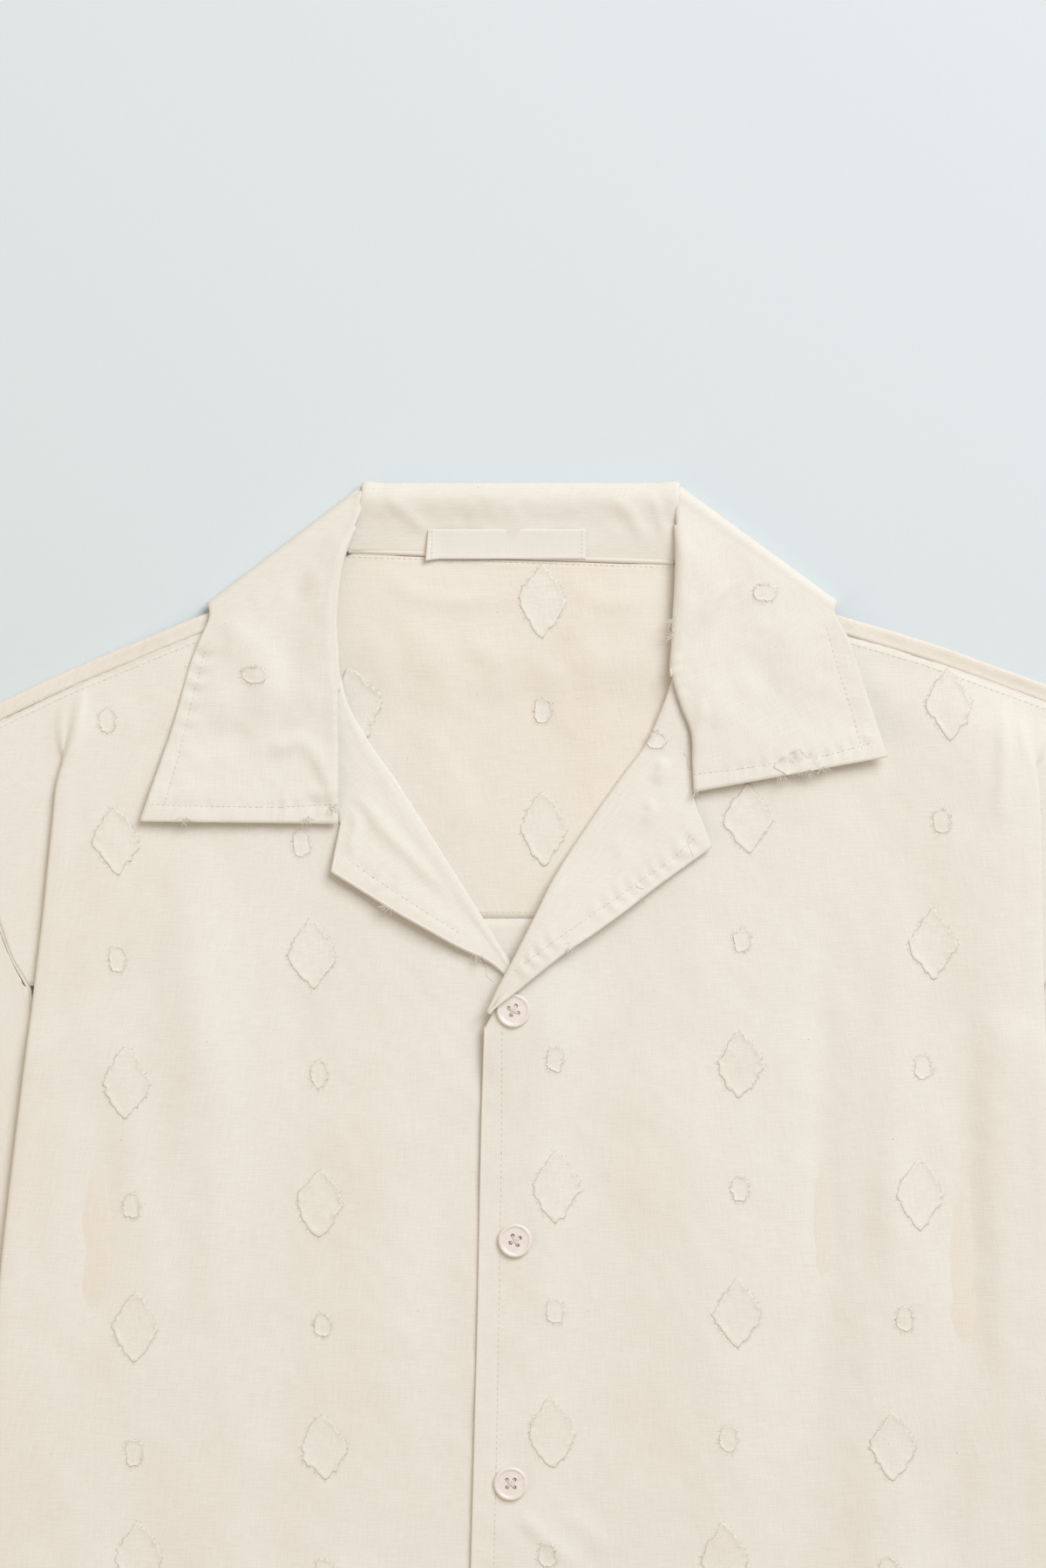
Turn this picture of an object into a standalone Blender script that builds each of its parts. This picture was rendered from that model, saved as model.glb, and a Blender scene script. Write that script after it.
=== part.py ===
"""A short-sleeved camp-collar shirt in slubbed cotton, buttoned and laid flat on its back.

Every cut piece is a closed cloth wall of its own: a middle surface worked out from named sizes and
short tables, thickened to both sides. Sizes are in millimetres and become metres in the meshes.
X runs across the shirt, Y from hem to collar and Z up from the surface that the shirt lies on.
"Out" is the distance from the middle line towards a side. Left and right are the wearer's own, so
the left front, which buttons over the right one, lies at +X.
"""

import math
from collections import namedtuple

import bpy
import numpy as np

MILLIMETRE = 0.001

# Walls
CLOTH = 1.2
COLLAR_CLOTH = 1.6
LABEL_CLOTH = 1.0
SEAM_GAP = 0.3
ARMHOLE_GAP = 0.3
LAYER_GAP = 0.4
BACK_LEVEL = CLOTH / 2.0

# Heights in the length of the shirt
HEM_Y = -392.5
ROLL_Y = 392.5
YOKE_SEAM_Y = 183.0
NECK_SEAM_RIGHT_Y = 360.2
NECK_SEAM_LEFT_Y = 354.7
ARMPIT_Y = 150.0
GORGE_TOP_Y = 293.8

# Levels of the layers above the surface
SLEEVE_TOP_LEVEL = 2.6
SLEEVE_TURN = (SLEEVE_TOP_LEVEL - BACK_LEVEL) / 2.0
SLEEVE_LIFT = 3.9
FALL_LIFT = 2.2
FALL_LEVEL = COLLAR_CLOTH / 2.0
LEAF_LEVEL = 8.4
SILHOUETTE_TURN = (LEAF_LEVEL - FALL_LEVEL) / 2.0
SILHOUETTE_CENTRE = (LEAF_LEVEL + FALL_LEVEL) / 2.0
LEAF_FREE_RISE = 1.6
ROLL_CREST = 11.2
ROLL_TURN = 1.9
LIP_LENGTH = 9.0
YOKE_WRAP = 8.6
FOLD_TURN = 1.4
DROP_SHOULDER_RETURN = SLEEVE_TOP_LEVEL + 2.2
LIFT_MARGIN = 12.0
FOLD_OVERLAP = 6.0
FOLD_START = 34.0

Side = namedtuple(
    "Side",
    "name sign placket neckline side_fold armhole shoulder sleeve_top sleeve_under "
    "gorge_and_roll leaf_edge lapel_roll lapel_edge lapel_stations middle_level roll_radius",
)
Ridge = namedtuple("Ridge", "sign x_high x_low y_high y_low half_width height")
Button = namedtuple("Button", "x y")

# The pieces of each side. Points are (out, y); edges that are read by height are (y, out).
RIGHT = Side(
    name="right",
    sign=-1.0,
    placket=((-392.5, -14.0), (138.0, -15.0)),
    neckline=(
        (-15.5, 132.0), (-2.0, 148.0), (2.0, 155.0), (33.6, 206.0), (58.8, 246.0), (71.4, 263.0),
        (84.5, 287.0), (92.0, 322.0), (98.0, 342.5),
    ),
    side_fold=(
        (-392.5, 268.0), (-250.0, 264.0), (-100.0, 256.0), (25.0, 246.0), (79.6, 239.6),
        (142.6, 231.8), (184.6, 226.8), (247.6, 220.5), (289.6, 216.3), (303.0, 215.0),
    ),
    armhole=((150.0, 234.5), (163.0, 242.0), (180.0, 248.5), (205.0, 256.5), (240.0, 263.0), (277.0, 268.0)),
    shoulder=((84.0, 355.0), (149.0, 329.5), (216.0, 302.0), (268.0, 277.0)),
    sleeve_top=((269.6, 277.8), (310.0, 204.0), (343.0, 126.0), (366.0, 58.0)),
    sleeve_under=((235.0, 150.0), (232.6, 138.0), (226.0, 114.0), (216.0, 68.0), (197.0, -17.0)),
    gorge_and_roll=((84.3, 228.9), (84.3, 293.8), (86.1, 331.6), (82.7, 356.8), (73.5, 391.0)),
    leaf_edge=((179.8, 230.0), (163.8, 277.0), (148.0, 334.5)),
    lapel_roll=((81.2, 288.0), (71.4, 268.6), (58.8, 251.8), (33.6, 211.9), (2.1, 161.5), (-1.5, 155.5)),
    lapel_edge=(
        (83.7, 280.0), (83.7, 228.7), (88.2, 205.6), (54.6, 184.6), (16.8, 163.6), (2.9, 158.6),
        (0.5, 152.5),
    ),
    lapel_stations=(0.0, 0.1, 0.2, 0.306, 0.37, 0.43, 0.52, 0.62, 0.72, 0.82, 0.91, 1.0),
    middle_level=2.6,
    roll_radius=1.3,
)
LEFT = Side(
    name="left",
    sign=1.0,
    placket=((-392.5, -22.5), (-130.0, -21.0), (-4.0, -17.6), (79.6, -16.0), (136.0, -14.2)),
    neckline=(
        (-15.0, 128.5), (0.0, 157.4), (21.0, 200.0), (42.0, 232.2), (65.1, 263.6), (76.5, 287.0),
        (86.0, 322.0), (92.0, 342.5),
    ),
    side_fold=(
        (-392.5, 272.0), (-250.0, 270.0), (-100.0, 266.0), (25.0, 260.0), (142.0, 255.0),
        (256.0, 253.0), (296.0, 252.0),
    ),
    armhole=((150.0, 256.5), (163.0, 262.5), (180.0, 267.0), (205.0, 271.0), (240.0, 273.5), (287.0, 276.0)),
    shoulder=((80.0, 353.0), (155.0, 329.0), (197.0, 317.0), (256.0, 295.5), (276.0, 287.0)),
    sleeve_top=((277.6, 287.8), (315.0, 214.0), (345.0, 135.0), (366.0, 66.0)),
    sleeve_under=((257.0, 150.0), (255.0, 138.0), (248.0, 114.0), (232.0, 68.0), (197.0, -4.0)),
    gorge_and_roll=(
        (86.0, 244.0), (84.4, 277.0), (75.2, 293.8), (76.4, 323.2), (78.1, 352.6), (79.8, 391.0),
    ),
    leaf_edge=((179.3, 261.0), (165.9, 302.2), (155.6, 335.5)),
    lapel_roll=((73.0, 288.0), (65.1, 268.6), (42.0, 237.1), (21.0, 205.6), (0.0, 163.6), (-8.0, 148.8)),
    lapel_edge=(
        (79.6, 282.5), (83.7, 276.6), (85.4, 243.8), (94.9, 217.4), (68.0, 198.0), (46.2, 181.2),
        (21.0, 164.4), (-1.0, 146.4),
    ),
    lapel_stations=(0.0, 0.065, 0.14, 0.23, 0.30, 0.37, 0.45, 0.54, 0.64, 0.74, 0.83, 0.92, 1.0),
    middle_level=2.6,
    roll_radius=1.5,
)
SIDES = (RIGHT, LEFT)

# Heights of the fronts' rows along the side fold, closer together at the armpit
FRONT_ROWS = (
    -392.5, -345.0, -300.0, -250.0, -205.0, -160.0, -115.0, -75.0, -48.0, -24.0, 15.0, 60.0, 95.0,
    120.0, 137.0, 150.5, 163.0, 182.0, 206.0, 230.0, 250.0, 266.0, 280.0,
)

# Soft upright ridges of the fronts, which grow towards the hem
RIDGES = (
    Ridge(sign=-1.0, x_high=-165.0, x_low=-140.0, y_high=225.0, y_low=-60.0, half_width=17.0, height=2.6),
    Ridge(sign=-1.0, x_high=-95.0, x_low=-78.0, y_high=60.0, y_low=-392.5, half_width=24.0, height=2.2),
    Ridge(sign=-1.0, x_high=-205.0, x_low=-196.0, y_high=10.0, y_low=-392.5, half_width=20.0, height=3.0),
    Ridge(sign=1.0, x_high=186.0, x_low=176.0, y_high=120.0, y_low=-392.5, half_width=17.0, height=3.4),
    Ridge(sign=1.0, x_high=112.0, x_low=104.0, y_high=70.0, y_low=-392.5, half_width=22.0, height=2.4),
    Ridge(sign=1.0, x_high=232.0, x_low=226.0, y_high=250.0, y_low=-300.0, half_width=13.0, height=2.0),
)

# The place where the lapels cross, which the layers below lift
CROSSING_X = 0.0
CROSSING_LIFT = 2.6
OVERLAP_LIFT = 1.8
LABEL_LEFT_X = 34.4
LABEL_RIGHT_X = -42.0
LABEL_LOW_Y = 356.4
LABEL_HIGH_Y = 370.4

BUTTONS = (
    Button(-0.4, 138.8), Button(0.4, 27.9), Button(-1.7, -89.2), Button(-3.2, -204.0), Button(-4.8, -318.0),
)
BUTTON_RADIUS = 8.2
BUTTON_THICK = 2.4
BUTTON_RIM = 1.3
BUTTON_DISH = 0.6
HOLE_RADIUS = 0.85
HOLE_SPACING = 3.5
BUTTON_FACETS = 20
HOLE_FACETS = 6

CLOTH_COLOUR = (0.86, 0.79, 0.69, 1.0)
FACING_COLOUR = (0.85, 0.78, 0.68, 1.0)
LABEL_COLOUR = (0.88, 0.85, 0.80, 1.0)
BUTTON_COLOUR = (0.90, 0.84, 0.80, 1.0)
CLOTH_ROUGHNESS = 0.9
BUTTON_ROUGHNESS = 0.3


def ease(value, start, end):
    """A soft step from 0 at start to 1 at end."""
    part = np.clip((np.asarray(value, dtype=float) - start) / (end - start), 0.0, 1.0)
    return part * part * (3.0 - 2.0 * part)


def mix(first, second, part):
    """The value that lies part of the way from first to second."""
    return first + (second - first) * part


def read(table, at):
    """Read the second column of a table whose first column rises."""
    rows = np.array(table, dtype=float)
    return np.interp(at, rows[:, 0], rows[:, 1])


def along(points, part):
    """The point that lies at a part of a bent line's length."""
    line = np.array(points, dtype=float)
    steps = np.linalg.norm(np.diff(line, axis=0), axis=1)
    reach = np.concatenate(([0.0], np.cumsum(steps)))
    target = part * reach[-1]
    return np.array([np.interp(target, reach, line[:, axis]) for axis in range(line.shape[1])])


def sleeve_lift(side, out, y, margin=0.0):
    """How far a layer rises over the sleeve that lies under the body's side."""
    under = np.array(side.sleeve_under, dtype=float)[::-1]
    inner = np.interp(y, under[:, 1], under[:, 0])
    across = ease(out, inner - 40.0 - margin, inner - 15.0 - margin)
    lengthwise = ease(y, ARMPIT_Y, 124.0) * ease(y, -48.0 - margin, -24.0 - margin)
    return SLEEVE_LIFT * across * lengthwise


def back_level(x, y):
    """Middle surface of the back and of the yoke's lower layer."""
    level = BACK_LEVEL
    for side in SIDES:
        level = level + sleeve_lift(side, side.sign * x, y)
    return level + FALL_LIFT * fall_cover(x, y)


def fall_cover(x, y):
    """1 where the collar's fall lies under the yoke, 0 away from it."""
    return ease(y, 280.0, 304.0) * ease(abs(x), 192.0, 160.0)


def wrap_level(out):
    """Level of the shoulder's upper layer, higher over the collar's fall."""
    return mix(SLEEVE_TOP_LEVEL, 5.4, ease(out, 200.0, 158.0))


def ridge_level(sign, x, y):
    """Height of the soft upright ridges at a place."""
    total = 0.0
    for ridge in RIDGES:
        if ridge.sign != sign:
            continue
        part = (ridge.y_high - y) / (ridge.y_high - ridge.y_low)
        middle = mix(ridge.x_high, ridge.x_low, part)
        grown = ease(part, 0.0, 0.45) * ease(part, 1.5, 0.9)
        total = total + ridge.height * grown * math.exp(-(((x - middle) / ridge.half_width) ** 2))
    return total


def return_level(side, y):
    """Level of the layer that comes back under the front's side fold."""
    lift = sleeve_lift(side, read(side.side_fold, y) - 4.0, y, LIFT_MARGIN)
    below = BACK_LEVEL + lift + CLOTH + LAYER_GAP
    return mix(below, DROP_SHOULDER_RETURN, ease(y, 124.0, 146.0))


def crossing(x, y):
    """1 where the lapels cross, 0 away from it."""
    return ease(y, 98.0, 132.0) * ease(abs(x - CROSSING_X), 46.0, 16.0) * ease(y, 215.0, 175.0)


def front_top(side, out):
    """Upper edge of a front: the neckline, then the seam to the yoke."""
    seam = read(side.shoulder, out) - YOKE_WRAP - SEAM_GAP / 2.0
    return min(float(read(side.neckline, out)), float(seam))


def front_level(side, out, y):
    """Middle surface of a front's main area."""
    x = side.sign * out
    fold = read(side.side_fold, y)
    level = side.middle_level
    if side is LEFT:
        level = level + OVERLAP_LIFT * ease(x, 34.0, 17.0)
        level = level + CROSSING_LIFT * crossing(x, y)
    edge = return_level(side, y) + 2.0 * FOLD_TURN
    level = mix(level, edge, ease(out, fold - 78.0, fold - 5.0))
    level = level + FALL_LIFT * ease(y, 268.0, 296.0) * ease(out, 205.0, 165.0)
    level = level + ridge_level(side.sign, x, y) * ease(out, fold - 4.0, fold - 26.0)
    level = max(level, BACK_LEVEL + sleeve_lift(side, out, y, LIFT_MARGIN) + CLOTH + 1.5 * LAYER_GAP)
    seam = front_top(side, out)
    near_shoulder = ease(seam - y, FOLD_START, 0.0) * ease(out, 84.0, 99.0)
    return mix(level, wrap_level(out), near_shoulder)


def vertex_normals(points, faces):
    """Area-weighted normals of a surface of four-sided faces."""
    normals = np.zeros_like(points)
    for face in faces:
        corners = points[list(face)]
        normal = np.cross(corners[2] - corners[0], corners[3] - corners[1])
        for index in face:
            normals[index] += normal
    lengths = np.linalg.norm(normals, axis=1)
    lengths[lengths == 0.0] = 1.0
    return normals / lengths[:, None]


def make_material(name, colour, roughness):
    """A plain coated surface in one colour."""
    material = bpy.data.materials.new(name)
    material.use_nodes = True
    shader = material.node_tree.nodes["Principled BSDF"]
    shader.inputs["Base Color"].default_value = colour
    shader.inputs["Roughness"].default_value = roughness
    shader.inputs["Metallic"].default_value = 0.0
    return material


def add_object(name, points, faces, material):
    """Make an object from points in millimetres, with its faces turned outwards."""
    mesh = bpy.data.meshes.new(name)
    scaled = np.asarray(points) * MILLIMETRE
    volume = 0.0
    for face in faces:
        for step in range(1, len(face) - 1):
            first, second, third = scaled[face[0]], scaled[face[step]], scaled[face[step + 1]]
            volume += float(np.dot(first, np.cross(second, third)))
    if volume < 0.0:
        faces = [tuple(reversed(face)) for face in faces]
    mesh.from_pydata([tuple(point) for point in scaled], [], faces)
    mesh.validate()
    mesh.materials.append(material)
    mesh.shade_smooth()
    mesh.set_sharp_from_angle(angle=math.radians(50.0))
    item = bpy.data.objects.new(name, mesh)
    bpy.context.scene.collection.objects.link(item)
    return item


def make_wall(name, points, faces, thickness, material):
    """Thicken a middle surface to both sides and close it along its free edges."""
    used = sorted({index for face in faces for index in face})
    renumber = {old: new for new, old in enumerate(used)}
    points = np.asarray(points, dtype=float)[used]
    faces = [tuple(renumber[index] for index in face) for face in faces]
    offset = vertex_normals(points, faces) * (thickness / 2.0)
    count = len(points)
    solid_points = np.vstack((points + offset, points - offset))
    solid_faces = []
    for first, second, third, fourth in faces:
        for corner in ((first, second, third), (first, third, fourth)):
            solid_faces.append(corner)
            solid_faces.append(tuple(index + count for index in reversed(corner)))
    edges = {}
    for face in faces:
        for step, start in enumerate(face):
            edges[(start, face[(step + 1) % len(face)])] = True
    for start, end in edges:
        if (end, start) not in edges:
            solid_faces.append((end, start, start + count, end + count))
    return add_object(name, solid_points, solid_faces, material)


def grid_faces(rows, columns, keep=None, ring=False):
    """Four-sided faces of a grid of points, row after row."""
    faces = []
    last = columns if ring else columns - 1
    for row in range(rows - 1):
        for column in range(last):
            if keep is not None and not keep(row, column):
                continue
            following = (column + 1) % columns
            low = row * columns
            high = low + columns
            faces.append((low + column, low + following, high + following, high + column))
    return faces


def front_columns(side):
    """Parts of a front's width at which its columns stand, closer together at the neck."""
    inner = side.placket[-1][1]
    outer = side.side_fold[-1][1]
    outs = [inner, inner + 5.0, 2.0, 15.0, 30.0, 45.0, 58.0, 68.0, 76.0, 84.0, 91.0, 98.0]
    outs += [112.0, 126.0, 140.0, 153.0, 166.0, 178.0, 190.0]
    outs += [198.0, outer - 10.5] if outer < 230.0 else [202.0, 214.0, 226.0, outer - 18.0, outer - 10.5]
    return [(out - inner) / (outer - inner) for out in outs]


def fold_profile(side, y, seam_distance):
    """Places of the side fold's columns: how far out of the fold's edge, and their level."""
    back_turn = FOLD_TURN
    back = return_level(side, y)
    main = back + 2.0 * back_turn
    lower = SLEEVE_TOP_LEVEL
    under_turn = (back - lower) / 2.0
    profile = [(-2.4, main)]
    for angle in (45.0, 0.0, -45.0, -90.0):
        turn = math.radians(angle)
        reach = back_turn * (math.cos(turn) - 1.0)
        profile.append((reach, back + back_turn + back_turn * math.sin(turn)))
    profile.append((-FOLD_OVERLAP + 1.0, back))
    for angle in (45.0, 0.0, -45.0):
        turn = math.radians(angle)
        reach = -FOLD_OVERLAP - under_turn * math.cos(turn)
        profile.append((reach, lower + under_turn + under_turn * math.sin(turn)))
    profile.append((-FOLD_OVERLAP + 1.0, lower))
    level = wrap_level(read(side.side_fold, y))
    spread = [(-8.0 + 1.6 * step, level) for step in range(len(profile))]
    raised = float(ease(seam_distance, 1.0, 0.7 * FOLD_START))
    folded_over = float(ease(seam_distance, 0.5 * FOLD_START, 1.4 * FOLD_START))
    return [
        (mix(flat[0], folded[0], folded_over), mix(flat[1], folded[1], raised))
        for flat, folded in zip(spread, profile)
    ]


def build_front(side, material):
    """One front: main area, side fold and the drop shoulder that lies lower beyond the fold."""
    parts = front_columns(side)
    outward = (0.3, 0.65, 1.0)
    inner_top = side.placket[-1][1]
    outer_top = side.side_fold[-1][1]
    edge_top = front_top(side, outer_top)
    points = []
    edge_heights = list(FRONT_ROWS) + [edge_top]
    for edge_y in edge_heights:
        height = (edge_y - HEM_Y) / (edge_top - HEM_Y)
        for part in parts:
            y = mix(HEM_Y, front_top(side, mix(inner_top, outer_top, part)), height)
            out = mix(read(side.placket, y), read(side.side_fold, y), part)
            points.append((side.sign * out, y, float(front_level(side, out, y))))
        fold = float(read(side.side_fold, edge_y))
        profile = fold_profile(side, edge_y, edge_top - edge_y)
        near_seam = float(ease(height, 0.85, 1.0))
        for reach, level in profile:
            seam_y = mix(HEM_Y, front_top(side, fold + reach), height)
            points.append((side.sign * (fold + reach), mix(edge_y, seam_y, near_seam), level))
        last_out = fold + profile[-1][0]
        last_level = profile[-1][1]
        start_y = points[-1][1]
        end_y = mix(HEM_Y, front_top(side, float(read(side.armhole, edge_y))), height)
        end_y = mix(edge_y, end_y, near_seam)
        seam = float(read(side.armhole, end_y)) - ARMHOLE_GAP
        for part in outward:
            out = mix(last_out, max(seam, last_out + 2.0), part)
            y = mix(start_y, end_y, part)
            points.append((side.sign * out, y, mix(last_level, SLEEVE_TOP_LEVEL, min(1.0, 1.6 * part))))
    columns = len(parts) + len(profile) + len(outward)
    returned = len(parts) + 5

    def keep(row, column):
        return column < returned or edge_heights[row] >= ARMPIT_Y

    faces = grid_faces(len(edge_heights), columns, keep)
    return make_wall("front_" + side.name, points, faces, CLOTH, material)


def side_edge(side, y):
    """Outer edge of the back: the armhole above the armpit, the side seam below it."""
    seam = read(side.side_fold, y) - 3.2
    arm = read(side.armhole, y) - ARMHOLE_GAP
    return mix(seam, arm, ease(y, ARMPIT_Y - 1.0, ARMPIT_Y + 14.0))


def build_back(material):
    """The back, from the hem to the yoke seam."""
    across = [-1.0, -0.96, -0.91, -0.86, -0.81, -0.76, -0.7, -0.64, -0.58, -0.5, -0.25, 0.0]
    across += [-part for part in reversed(across[:-1])]
    heights = [HEM_Y, -300.0, -200.0, -120.0, -70.0, -48.0, -36.0, -24.0, 20.0, 66.0, 100.0]
    heights += [122.0, 134.0, 141.0, 149.0, 158.0, 166.0, 174.0, YOKE_SEAM_Y - SEAM_GAP / 2.0]
    points = []
    for y in heights:
        for part in across:
            side = LEFT if part > 0.0 else RIGHT
            x = part * float(side_edge(side, y))
            points.append((x, y, float(back_level(x, y))))
    return make_wall("back", points, grid_faces(len(heights), len(across)), CLOTH, material)


def build_yoke(material):
    """The yoke: over the shoulders, round their edge and down to the seams of the fronts."""
    outs = [1.0, 0.93, 0.86, 0.76, 0.66, 0.60, 0.54, 0.47, 0.41, 0.355, 0.325, 0.295, 0.2, 0.1, 0.0]
    across = [-part for part in outs] + [part for part in reversed(outs[:-1])]
    rises = [0.0, 0.25, 0.45, 0.6, 0.72, 0.8, 0.88, 0.95, 1.0]
    turns = [60.0, 20.0, -20.0, -60.0]
    wrap_parts = [0.0, 0.5, 1.0]
    points = []
    base = YOKE_SEAM_Y + SEAM_GAP / 2.0
    neck_tip = 92.0
    widths = {side.sign: side.armhole[-1][1] - ARMHOLE_GAP for side in SIDES}

    def place(part, y):
        side = LEFT if part > 0.0 else RIGHT
        out = abs(part) * widths[side.sign]
        narrowed = float(read(side.armhole, y)) - ARMHOLE_GAP
        inner = 150.0
        if out > inner:
            out = inner + (out - inner) * (narrowed - inner) / (widths[side.sign] - inner)
        return side, out

    def crest(part):
        side, out = place(part, side_top(part))
        shoulder = float(read(side.shoulder, out))
        seam = mix(NECK_SEAM_RIGHT_Y, NECK_SEAM_LEFT_Y, (side.sign * out + 80.6) / 158.3) - SEAM_GAP
        return mix(seam, shoulder, float(ease(out, 80.0, 90.0)))

    def side_top(part):
        side = LEFT if part > 0.0 else RIGHT
        return side.shoulder[-1][1]

    rows = []
    for rise in rises:
        row = []
        for part in across:
            top = crest(part)
            side, out = place(part, top)
            radius = (wrap_level(out) - float(back_level(side.sign * out, top))) / 2.0
            y = mix(base, top - radius, rise)
            side, out = place(part, y)
            x = side.sign * out
            row.append((x, y, float(back_level(x, y))))
        rows.append(row)
    for angle in turns:
        row = []
        for part in across:
            top = crest(part)
            side, out = place(part, top)
            x = side.sign * out
            low = float(back_level(x, top))
            radius = (float(wrap_level(out)) - low) / 2.0
            turn = math.radians(angle)
            y = top - radius + radius * math.cos(turn)
            row.append((x, y, low + radius - radius * math.sin(turn)))
        rows.append(row)
    for wrap in wrap_parts:
        row = []
        for part in across:
            top = crest(part)
            side, out = place(part, top)
            radius = (float(wrap_level(out)) - float(back_level(side.sign * out, top))) / 2.0
            y = mix(top - radius, top - YOKE_WRAP + 2.0 * SEAM_GAP, wrap)
            side, out = place(part, y)
            row.append((side.sign * out, y, float(wrap_level(out))))
        rows.append(row)
    for row in rows:
        points += row
    columns = len(across)
    wrapped = len(rises) - 1

    def keep(row, column):
        reach = min(abs(points[column][0]), abs(points[column + 1][0]))
        return row < wrapped or reach > neck_tip

    return make_wall("yoke", points, grid_faces(len(rows), columns, keep), CLOTH, material)


def edge_and_outward(line, part, hand):
    """A point of a sleeve's edge and the direction that points away from the sleeve there."""
    spot = along(line, part)
    ahead = along(line, min(part + 0.06, 1.0))
    behind = along(line, max(part - 0.06, 0.0))
    tangent = (ahead - behind) / np.linalg.norm(ahead - behind)
    return spot, np.array((-tangent[1], tangent[0])) * hand


def build_sleeve(side, material):
    """A short sleeve pressed flat: one closed tube, open at the armhole and at the cuff."""
    stations = [0.0, 0.05, 0.1, 0.16, 0.23, 0.31, 0.4, 0.52, 0.64, 0.76, 0.88, 1.0]
    across = [0.0, 0.09, 0.2, 0.33, 0.46, 0.6, 0.74, 0.87, 1.0]
    turns = (45.0, 0.0, -45.0)
    top_start = np.array(side.sleeve_top[0])
    under_start = np.array(side.sleeve_under[0])
    shoulder_y = side.armhole[-1][0]
    points = []
    for station in stations:
        top, top_out = edge_and_outward(side.sleeve_top, station, 1.0)
        under, under_out = edge_and_outward(side.sleeve_under, station, -1.0)
        row = []
        for part in across:
            spot = mix(top - top_out * SLEEVE_TURN, under - under_out * SLEEVE_TURN, part)
            y = mix(shoulder_y, ARMPIT_Y, part)
            clear = ARMHOLE_GAP + 1.4 * float(ease(part, 0.2, 0.0))
            seam = np.array((float(read(side.armhole, y)) + clear, y))
            straight = mix(top_start, under_start, part)
            inset = mix(top_out, -under_out, part) * ARMHOLE_GAP
            spot = spot + (seam - straight + inset) * (1.0 - station) ** 3
            row.append(spot)
        middle = (SLEEVE_TOP_LEVEL + BACK_LEVEL) / 2.0
        ring = [(spot, SLEEVE_TOP_LEVEL + sleeve_relief(spot, part)) for spot, part in zip(row, across)]
        for angle in turns:
            turn = math.radians(angle)
            spot = row[-1] + under_out * SLEEVE_TURN * math.cos(turn)
            ring.append((spot, middle + SLEEVE_TURN * math.sin(turn)))
        ring += [(spot, BACK_LEVEL) for spot in reversed(row)]
        for angle in reversed(turns):
            turn = math.radians(angle)
            spot = row[0] + top_out * SLEEVE_TURN * math.cos(turn)
            ring.append((spot, middle + SLEEVE_TURN * math.sin(turn)))
        points += [(side.sign * spot[0], spot[1], level) for spot, level in ring]
    columns = 2 * len(across) + 2 * len(turns)
    faces = grid_faces(len(stations), columns, ring=True)
    return make_wall("sleeve_" + side.name, points, faces, CLOTH, material)


def sleeve_relief(spot, part):
    """Soft swell of the sleeve's upper layer, away from the body and from its own edges."""
    clear = ease(spot[0], 268.0, 292.0) * ease(part, 0.0, 0.25) * ease(part, 1.0, 0.75)
    return 1.8 * float(clear) * (1.0 + 0.5 * math.sin(spot[1] / 19.0 + spot[0] / 31.0))


def build_facing(side, material):
    """A lapel: the facing from under the roll line, round it and out to the lapel's free edge."""
    across = (0.22, 0.42, 0.6, 0.78, 0.9, 1.0)
    turns = (-90.0, -45.0, 0.0, 45.0, 90.0)
    points = []
    for station in side.lapel_stations:
        roll = along(side.lapel_roll, station)
        ahead = along(side.lapel_roll, min(station + 0.02, 1.0))
        behind = along(side.lapel_roll, max(station - 0.02, 0.0))
        tangent = (ahead - behind) / np.linalg.norm(ahead - behind)
        normal = np.array((-tangent[1], tangent[0]))
        edge = along(side.lapel_edge, station)
        radius = side.roll_radius
        if side is LEFT:
            radius = mix(radius, 1.9, float(ease(station, 0.7, 0.9)))
        spot = roll + normal * radius
        low = float(front_level(side, spot[0], spot[1]))
        for angle in turns:
            turn = math.radians(angle)
            spot = roll + normal * radius * (1.0 - math.cos(turn))
            points.append((side.sign * spot[0], spot[1], low + radius + radius * math.sin(turn)))
        start = roll + normal * radius
        high = low + 2.0 * radius
        for part in across:
            spot = mix(start, edge, part)
            level = high + lapel_rise(side, spot, station, part)
            below = float(front_level(side, spot[0], spot[1])) + CLOTH + LAYER_GAP
            points.append((side.sign * spot[0], spot[1], max(level, below)))
    columns = len(turns) + len(across)
    faces = grid_faces(len(side.lapel_stations), columns)
    return make_wall("facing_" + side.name, points, faces, CLOTH, material)


def lapel_rise(side, spot, station, part):
    """How far a lapel stands off towards its free edge."""
    if side is LEFT:
        free = ease(station, 0.24, 0.36) * ease(station, 1.0, 0.85)
        over_button = 2.2 * float(ease(station, 0.72, 0.9))
        return 1.6 * float(free) * part + over_button * float(ease(part, 0.0, 0.5)) * 0.5
    free = ease(station, 0.3, 0.42) * ease(station, 0.98, 0.7)
    return 3.6 * float(free) * float(ease(part, 0.1, 1.0))


def fold_line(side):
    """The fold at the neck's side, where the collar turns from the leaf to the fall behind."""
    inner = np.array(side.gorge_and_roll[-1])
    outer = np.array(side.leaf_edge[-1])
    tangent = (outer - inner) / np.linalg.norm(outer - inner)
    outward = np.array((-tangent[1], tangent[0]))
    return inner, outer, outward


def stand_level(y):
    """Level of the stand behind the neck, from its seam up to the roll."""
    return mix(3.0, LEAF_LEVEL, float(ease(y, 352.0, 392.0)))


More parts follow.
